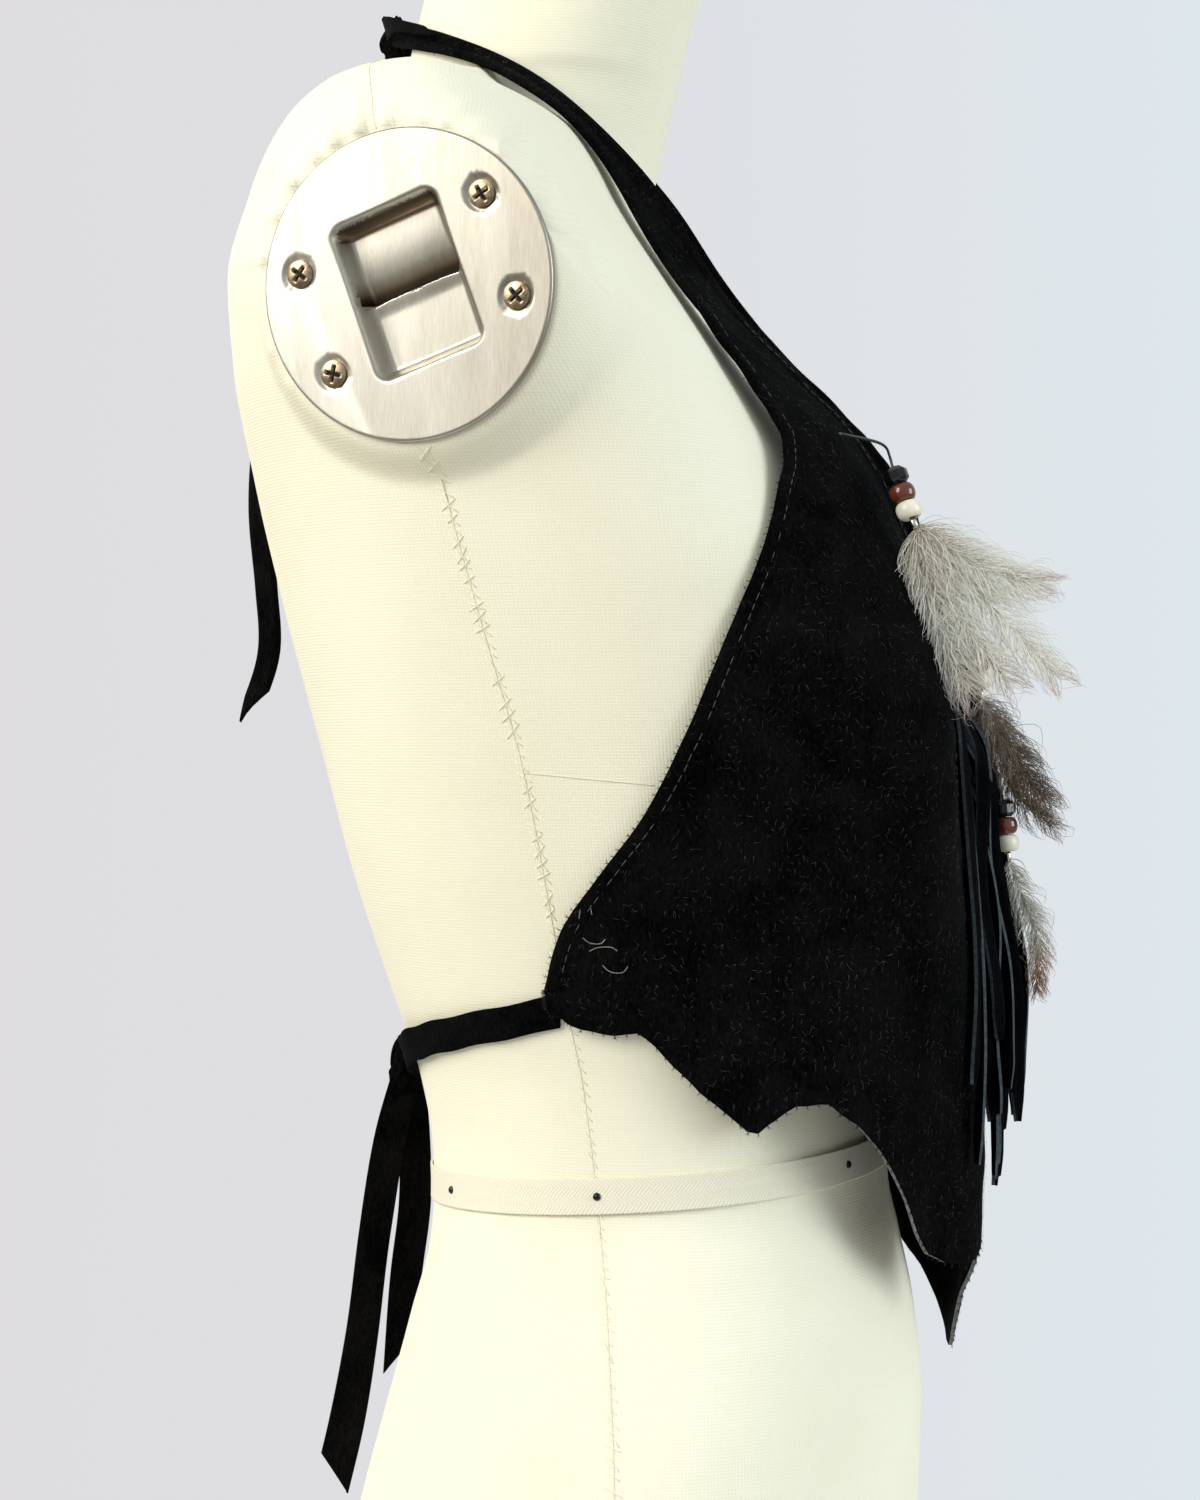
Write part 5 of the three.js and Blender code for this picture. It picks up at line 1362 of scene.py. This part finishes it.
def frontOfPanel(side, aside, z):
    angle = angleAt(side, aside, z)
    return formAt["mid"](z) - clothRadius(side, angle, z) * np.cos(np.radians(angle))


def fringePiece(name, side):
    f = fringe
    every = {"points": [], "faces": [], "slots": []}

    def take(grid, thickness, sign):
        points, faces, slots, _ = shell(grid, thickness, sign)
        start = sum(len(p) for p in every["points"])
        every["points"].append(points)
        every["faces"] += [np.asarray(q) + start for q in faces]
        every["slots"] += slots

    z = np.linspace(f["top"], f["bottom"], 50)
    strip = []
    for aside in np.linspace(f["inner"], f["inner"] + f["strip"], 6):
        y = frontOfPanel(side, aside + 0 * z, z) - f["lift"] - suedeThickness
        strip.append(np.stack([-side * aside + 0 * z, y, z], axis=1))
    strip = np.array(strip)
    take(strip, suedeThickness, outwardOf(strip))
    for k in range(len(f["root"])):
        end = f["end"][k] + f["sway"][side] * math.sin(k * 2.3 + side)
        share = np.linspace(0, 1, 44)
        z = f["root"][k] + (end - f["root"][k]) * share
        eased = 1 - (1 - np.minimum(share * 2.2, 1)) ** 2
        sway = 2.6 * np.sin(share * 7 + k * 1.7) * share
        rootSide = f["inner"] + f["strip"] / 2
        aside = rootSide + (f["aside"][k] - rootSide) * eased + sway
        reach = smoothStep(share * 5)
        wavy = 2.2 * np.sin(share * 8 + k * 2.1) * np.sin(share * 3) * (f["proud"][k] > 6)
        proud = (f["lift"] + 0.8) + (f["proud"][k] - 0.8) * reach + wavy
        y = frontOfPanel(side, np.maximum(aside, 1), z) - proud
        # each strip turns as it hangs, and is cut to a slanted point
        twist = np.radians(f["twist"][k]) * smoothStep(share * 3.2) * (1 + 0.25 * np.sin(share * 7 + k))
        half = f["width"][k] / 2 * np.minimum(1, (1.04 - share) / 0.1)
        grid = []
        for u in (-1, -0.5, 0, 0.5, 1):
            cup = 0.5 * u * u
            grid.append(np.stack([
                -side * (aside + u * half * np.cos(twist)), y + u * half * np.sin(twist) - cup,
                z + 0.6 * u * np.sin(share * 9 + k)], axis=1))
        grid = np.array(grid)
        take(grid, f["thickness"], outwardOf(grid))
    points, faces, slots = np.concatenate(every["points"]), every["faces"], every["slots"]
    # the strips' edge walls take the painted highlight
    return addMesh(name, points, faces, [stripFace, stripEdgeHighlight], slots, flat=[v == 1 for v in slots])


settle(fringePiece("fringeRight", 1), "suede", "fringe_right")
settle(fringePiece("fringeLeft", -1), "suede", "fringe_left")
print("stage: fringe")

# pendants: a lace from the seam, three beads and a bunch of downy quills
pendants = {
    "neckline": {
        "start": (1, 61, 513, 0), "lace": [(-66, -95, 508), (-71, -98, 503)],
        "bead": (-72.5, -99.2, 499),
        "hang": (-0.12, -0.36, -0.92), "across": (0.15, -0.76, 0.64), "down": creamDown,
        "quills": [
            {"way": [(0, 0, 0), (2, -3, -20), (4, -10, -42), (5, -19, -60)], "barbs": 780, "long": 19},
            {"way": [(0, 0, 0), (2, -8, -18), (4, -20, -40), (6, -34, -58)], "barbs": 620, "long": 17},
            {"way": [(0, 0, 0), (3, -13, -9), (6, -29, -18), (8, -44, -21)], "barbs": 620, "long": 19},
            {"way": [(0, 0, 0), (3, -13, -15), (6, -31, -34), (9, -51, -56)], "barbs": 520, "long": 18},
        ],
    },
    "middle": {
        "start": (-1, 2.3, 436, 0), "lace": [(2, -117, 441), (1.5, -120.5, 442.5)],
        "bead": (1.5, -121.8, 440),
        "hang": (0.02, -0.12, -0.99), "across": (0.35, -0.75, 0.5), "down": brownDown,
        "quills": [
            {"way": [(0, 0, 0), (3, -7, -14), (6, -17, -31), (8, -25, -41)], "barbs": 760, "long": 16},
            {"way": [(0, 0, 0), (2, -6, -18), (3, -13, -37), (4, -28, -51)], "barbs": 520, "long": 14},
        ],
    },
    "low": {
        "start": (-1, 3, 384, 2.3), "lace": [(3, -128, 385), (3, -131.5, 382)],
        "bead": (3, -133, 378),
        "hang": (0.02, -0.08, -0.99), "across": (0.3, -0.9, 0.2), "down": paleDown,
        "quills": [
            {"way": [(0, 0, 0), (0.5, -5, -14), (0, -11, -32), (0, -11, -52)], "barbs": 620, "long": 11},
        ],
    },
}
bead = {"radius": 4.75, "length": 6.4, "hole": 1.75, "gap": 0.3, "rounded": 1.9, "chamfer": 0.5}
lacing = {"off": 1.65, "tail": 1.5, "wide": 2.9, "taper": 0.6, "thick": 0.9}
crimp = {"along": [-2.2, -0.8, 0.6, 2], "radii": [1.1, 1.35, 1.35, 1.0], "below": 0.4}
# barbs of the down: spreads are shares of a barb's length, except the scatter of a lock's tip in millimetres
barb = {
    "radii": [0.10, 0.12, 0.12, 0.11, 0.10, 0.08, 0.06, 0.03], "quillRadius": 0.35,
    "bow": 0.13, "stray": 0.1, "ripple": 0.035, "locks": 9, "lockPull": 0.3, "lockScatter": 1.6,
}


def beadPiece(name, centre, axis, material, facets):
    # pony bead: rounded outside, or cut in facets, with its hole through
    hole, end, chamfer = bead["hole"], bead["length"] / 2, bead["chamfer"]
    outline = []
    for lift in np.linspace(-math.pi / 2, math.pi / 2, 4 if facets else 9):
        outline.append((bead["radius"] - bead["rounded"] * (1 - math.cos(lift)), end * math.sin(lift)))
    outline += [(hole + chamfer, end), (hole, end - chamfer), (hole, -end + chamfer), (hole + chamfer, -end)]
    sides = 9 if facets else 48
    turns = np.arange(sides) / sides * 2 * math.pi
    up = unit(np.array(axis, float))
    first = unit(np.cross(up, [1, 0.2, 0.1]))
    second = np.cross(up, first)
    spokes = first * np.cos(turns)[:, None] + second * np.sin(turns)[:, None]
    grid = np.array([centre + up * height + radius * spokes for radius, height in outline])
    rows, columns = grid.shape[:2]
    faces, _ = gridFaces(rows, columns, closed=True)
    last = (rows - 1) * columns
    joins = [(last + i, last + (i + 1) % columns, (i + 1) % columns, i) for i in range(columns)]
    faces = [*faces, *joins]
    return addMesh(name, grid.reshape(-1, 3), faces, [material], flat=[facets] * len(faces))


def featherPiece(name, origin, settings, seed):
    # downy feathers on one root: thin quills whose fine barbs sweep to the tip and cling in locks
    own = np.random.default_rng(seed)
    across = unit(np.array(settings["across"], float))
    points, faces, uvs = [], [], []

    def take(paths, radii, shares):
        p, f, along = tubes(paths, radii, 3)
        start = sum(len(q) for q in points)
        points.append(p)
        faces.extend(np.asarray(q) + start for q in f)
        base = np.repeat(np.asarray(shares), paths.shape[1] * 3)
        uvs.append(np.stack([np.clip(base + 0.25 * along, 0, 1), along], axis=1))

    for quill in settings["quills"]:
        spine = evenly(np.array(quill["way"], float) + origin, 120)
        taper = np.linspace(1, 0.15, len(spine[::8]))
        take(spine[None, ::8], barb["quillRadius"] * taper[None], [0.0])
        count = quill["barbs"]
        share = own.beta(1.1, 1.15, count) * 0.96 + 0.02
        k = (share * 119).astype(int)
        along = unit(np.gradient(spine, axis=0))[k]
        out = unit(np.cross(along, across))
        hand = own.integers(0, 2, count)
        spread = across * (2 * hand - 1)[:, None] + out * own.normal(0, 0.75, (count, 1))
        size = quill["long"] * (0.5 + 0.65 * np.sin(np.clip(0.2 + 0.72 * share, 0, 1) * math.pi))
        size = size * own.uniform(0.6, 1.25, count)
        lean = 1.5 + 1.3 * share[:, None] + own.normal(0, 0.3, (count, 1))
        tips = unit(spread + along * lean) * size[:, None]
        # barbs of one lock share a tip, so the outline breaks up into soft points
        lock = (share * barb["locks"] + own.uniform(0, 0.6, count)).astype(int) * 2 + hand
        pull = np.zeros((count, 3))
        for which in np.unique(lock):
            member = lock == which
            ends = spine[k[member]] + tips[member]
            pull[member] = ends.mean(axis=0) + own.normal(0, barb["lockScatter"], 3) - ends
        t = np.linspace(0, 1, 8)[None, :, None]
        bow = across[None] * own.normal(0, barb["bow"], (count, 1))
        bow = (bow + own.normal(0, barb["stray"], (count, 3))) * size[:, None]
        ripple = unit(np.cross(tips, out)) * (barb["ripple"] * size)[:, None]
        phase = own.uniform(0, 6, (count, 1, 1))
        paths = spine[k][:, None] + tips[:, None] * t + bow[:, None] * np.sin(t * math.pi)
        paths = paths + pull[:, None] * barb["lockPull"] * t ** 2
        paths = paths + ripple[:, None] * np.sin(t * 9 + phase) * t
        radii = np.broadcast_to(np.array(barb["radii"]), paths.shape[:2])
        take(paths, radii, share * 0.8)
    uv = cornerValues(faces, np.concatenate(uvs))
    return addMesh(name, np.concatenate(points), faces, [settings["down"]], uv=uv)


def pendantPieces(name, settings, seed):
    side, aside, z, over = settings["start"]
    hang = unit(np.array(settings["hang"], float))
    top = np.array(settings["bead"], float)
    pitch = bead["length"] + bead["gap"]
    tail = top + hang * (pitch * 3 + lacing["tail"])
    front = float(frontOfPanel(side, np.array([float(aside)]), np.array([float(z)]))[0])
    y = front - lacing["off"] - over
    way = [(-side * aside, y, z), *settings["lace"], tuple(top), tuple(top + hang * pitch), tuple(tail)]
    lace = tie(
        f"lace{name}", way, lambda s: lacing["wide"] - lacing["taper"] * s,
        lambda s: (0.9, 0.35 - 0.5 * s, 0.25), thickness=lacing["thick"], edge=paintedLaceEdgeHighlight, count=40)
    lace.data.materials[0] = laceLeather
    settle(lace, "lace", f"lace_{name.lower()}")
    strung = (("black", blackGlass), ("brown", brownBead), ("cream", creamBead))
    for k, (colour, material) in enumerate(strung):
        centre = top + hang * pitch * (k + 0.5)
        piece = beadPiece(f"bead{name}{colour.title()}", centre, hang, material, colour == "black")
        settle(piece, f"bead_{colour}", f"bead_{colour}_{name.lower()}")
    start = tail + hang * crimp["below"]
    path = [start + hang * step for step in crimp["along"]]
    points, faces, _ = tubes(np.array([path]), np.array([crimp["radii"]]), 14)
    settle(addMesh(f"crimp{name}", points, faces, [crimpMetal]), "bead_cream")
    settle(featherPiece(f"feather{name}", start, settings, seed), "feather", f"feather_{name.lower()}")


for seed, (name, settings) in enumerate(pendants.items()):
    pendantPieces(name.title(), settings, 60 + seed)
print("stage: pendants")

# floor, light and camera; the lights' places and sizes are in metres
studio = {
    "sideways": [(0.0, (0.80, 0.86, 0.90)), (0.48, (0.735, 0.815, 0.86)), (0.60, (0.735, 0.745, 0.765)),
                 (0.70, (0.735, 0.72, 0.735)), (1.0, (0.86, 0.85, 0.825))],
    "upwards": [(0.0, (0.30, 0.27, 0.23)), (0.36, (0.46, 0.43, 0.38)), (0.52, (0.60, 0.60, 0.59)),
                (1.0, (0.66, 0.66, 0.66))],
    "floorRadius": 0.40, "floorDepth": 0.004,
    "target": (0, 24.5, 397), "azimuth": 282, "distance": 1200, "lens": 73.2, "sensor": 36,
}
lights = {
    "keyLight": {"place": (-1.45, 1.25, 1.35), "target": (0, 0.02, 0.4), "size": (1.3, 1.3),
                 "power": 40, "colour": (1.0, 0.975, 0.91)},
    "windowLight": {"place": (-0.25, -2.0, 0.9), "target": (0, 0, 0.4), "size": (1.1, 1.3),
                    "power": 24, "colour": (0.87, 0.95, 1.0)},
    "rimLight": {"place": (1.5, 1.4, 1.3), "target": (0, 0, 0.4), "size": (1.2, 1.2),
                 "power": 10, "colour": (1.0, 0.99, 0.97)},
}
bpy.ops.mesh.primitive_cylinder_add(
    vertices=128, radius=studio["floorRadius"], depth=studio["floorDepth"], location=(0, 0.01, -0.0021))
floor = bpy.context.object
floor.name = "floor"
floorCloth = plainMaterial("paleFloor", (0.70, 0.70, 0.715), (0.74, 0.74, 0.755), 8, 0.85)
floor.data.materials.append(floorCloth)

world = bpy.data.worlds.new("studio")
bpy.context.scene.world = world
world.use_nodes = True
# the backdrop changes from side to side; its light also dims towards the floor
tree = world.node_tree
background = tree.nodes["Background"]
rays = tree.nodes.new("ShaderNodeTexCoord")
split = tree.nodes.new("ShaderNodeSeparateXYZ")
tree.links.new(rays.outputs["Generated"], split.inputs[0])
sideways = maths(tree, "ADD", maths(tree, "MULTIPLY", split.outputs["Y"], 0.5), 0.5)
level = ramp(tree, sideways, studio["sideways"])
upwards = maths(tree, "ADD", maths(tree, "MULTIPLY", split.outputs["Z"], 0.5), 0.5)
lighting = mixed(tree, 1.0, level, ramp(tree, upwards, studio["upwards"]), "MULTIPLY")
path = tree.nodes.new("ShaderNodeLightPath")
tree.links.new(mixed(tree, path.outputs["Is Camera Ray"], lighting, level), background.inputs["Color"])
background.inputs["Strength"].default_value = 1.0


def areaLight(name, place, target, size, power, colour):
    data = bpy.data.lights.new(name, "AREA")
    data.shape = "RECTANGLE"
    data.size, data.size_y = size
    data.energy = power
    data.color = colour
    light = bpy.data.objects.new(name, data)
    light.location = place
    light.rotation_euler = (Vector(target) - Vector(place)).to_track_quat("-Z", "Y").to_euler()
    bpy.context.scene.collection.objects.link(light)


for name, settings in lights.items():
    areaLight(name, **settings)

cameraData = bpy.data.cameras.new("camera")
cameraData.lens = studio["lens"]
cameraData.sensor_width = studio["sensor"]
cameraData.dof.use_dof = False
camera = bpy.data.objects.new("camera", cameraData)
turn = math.radians(studio["azimuth"])
backwards = Vector((math.sin(turn), -math.cos(turn), 0))
target = Vector(studio["target"]) * mm
camera.location = target + backwards * studio["distance"] * mm
camera.rotation_euler = backwards.to_track_quat("Z", "Y").to_euler()
bpy.context.scene.collection.objects.link(camera)
bpy.context.scene.camera = camera
bpy.context.scene.view_settings.view_transform = "Standard"
print("stage: studio")
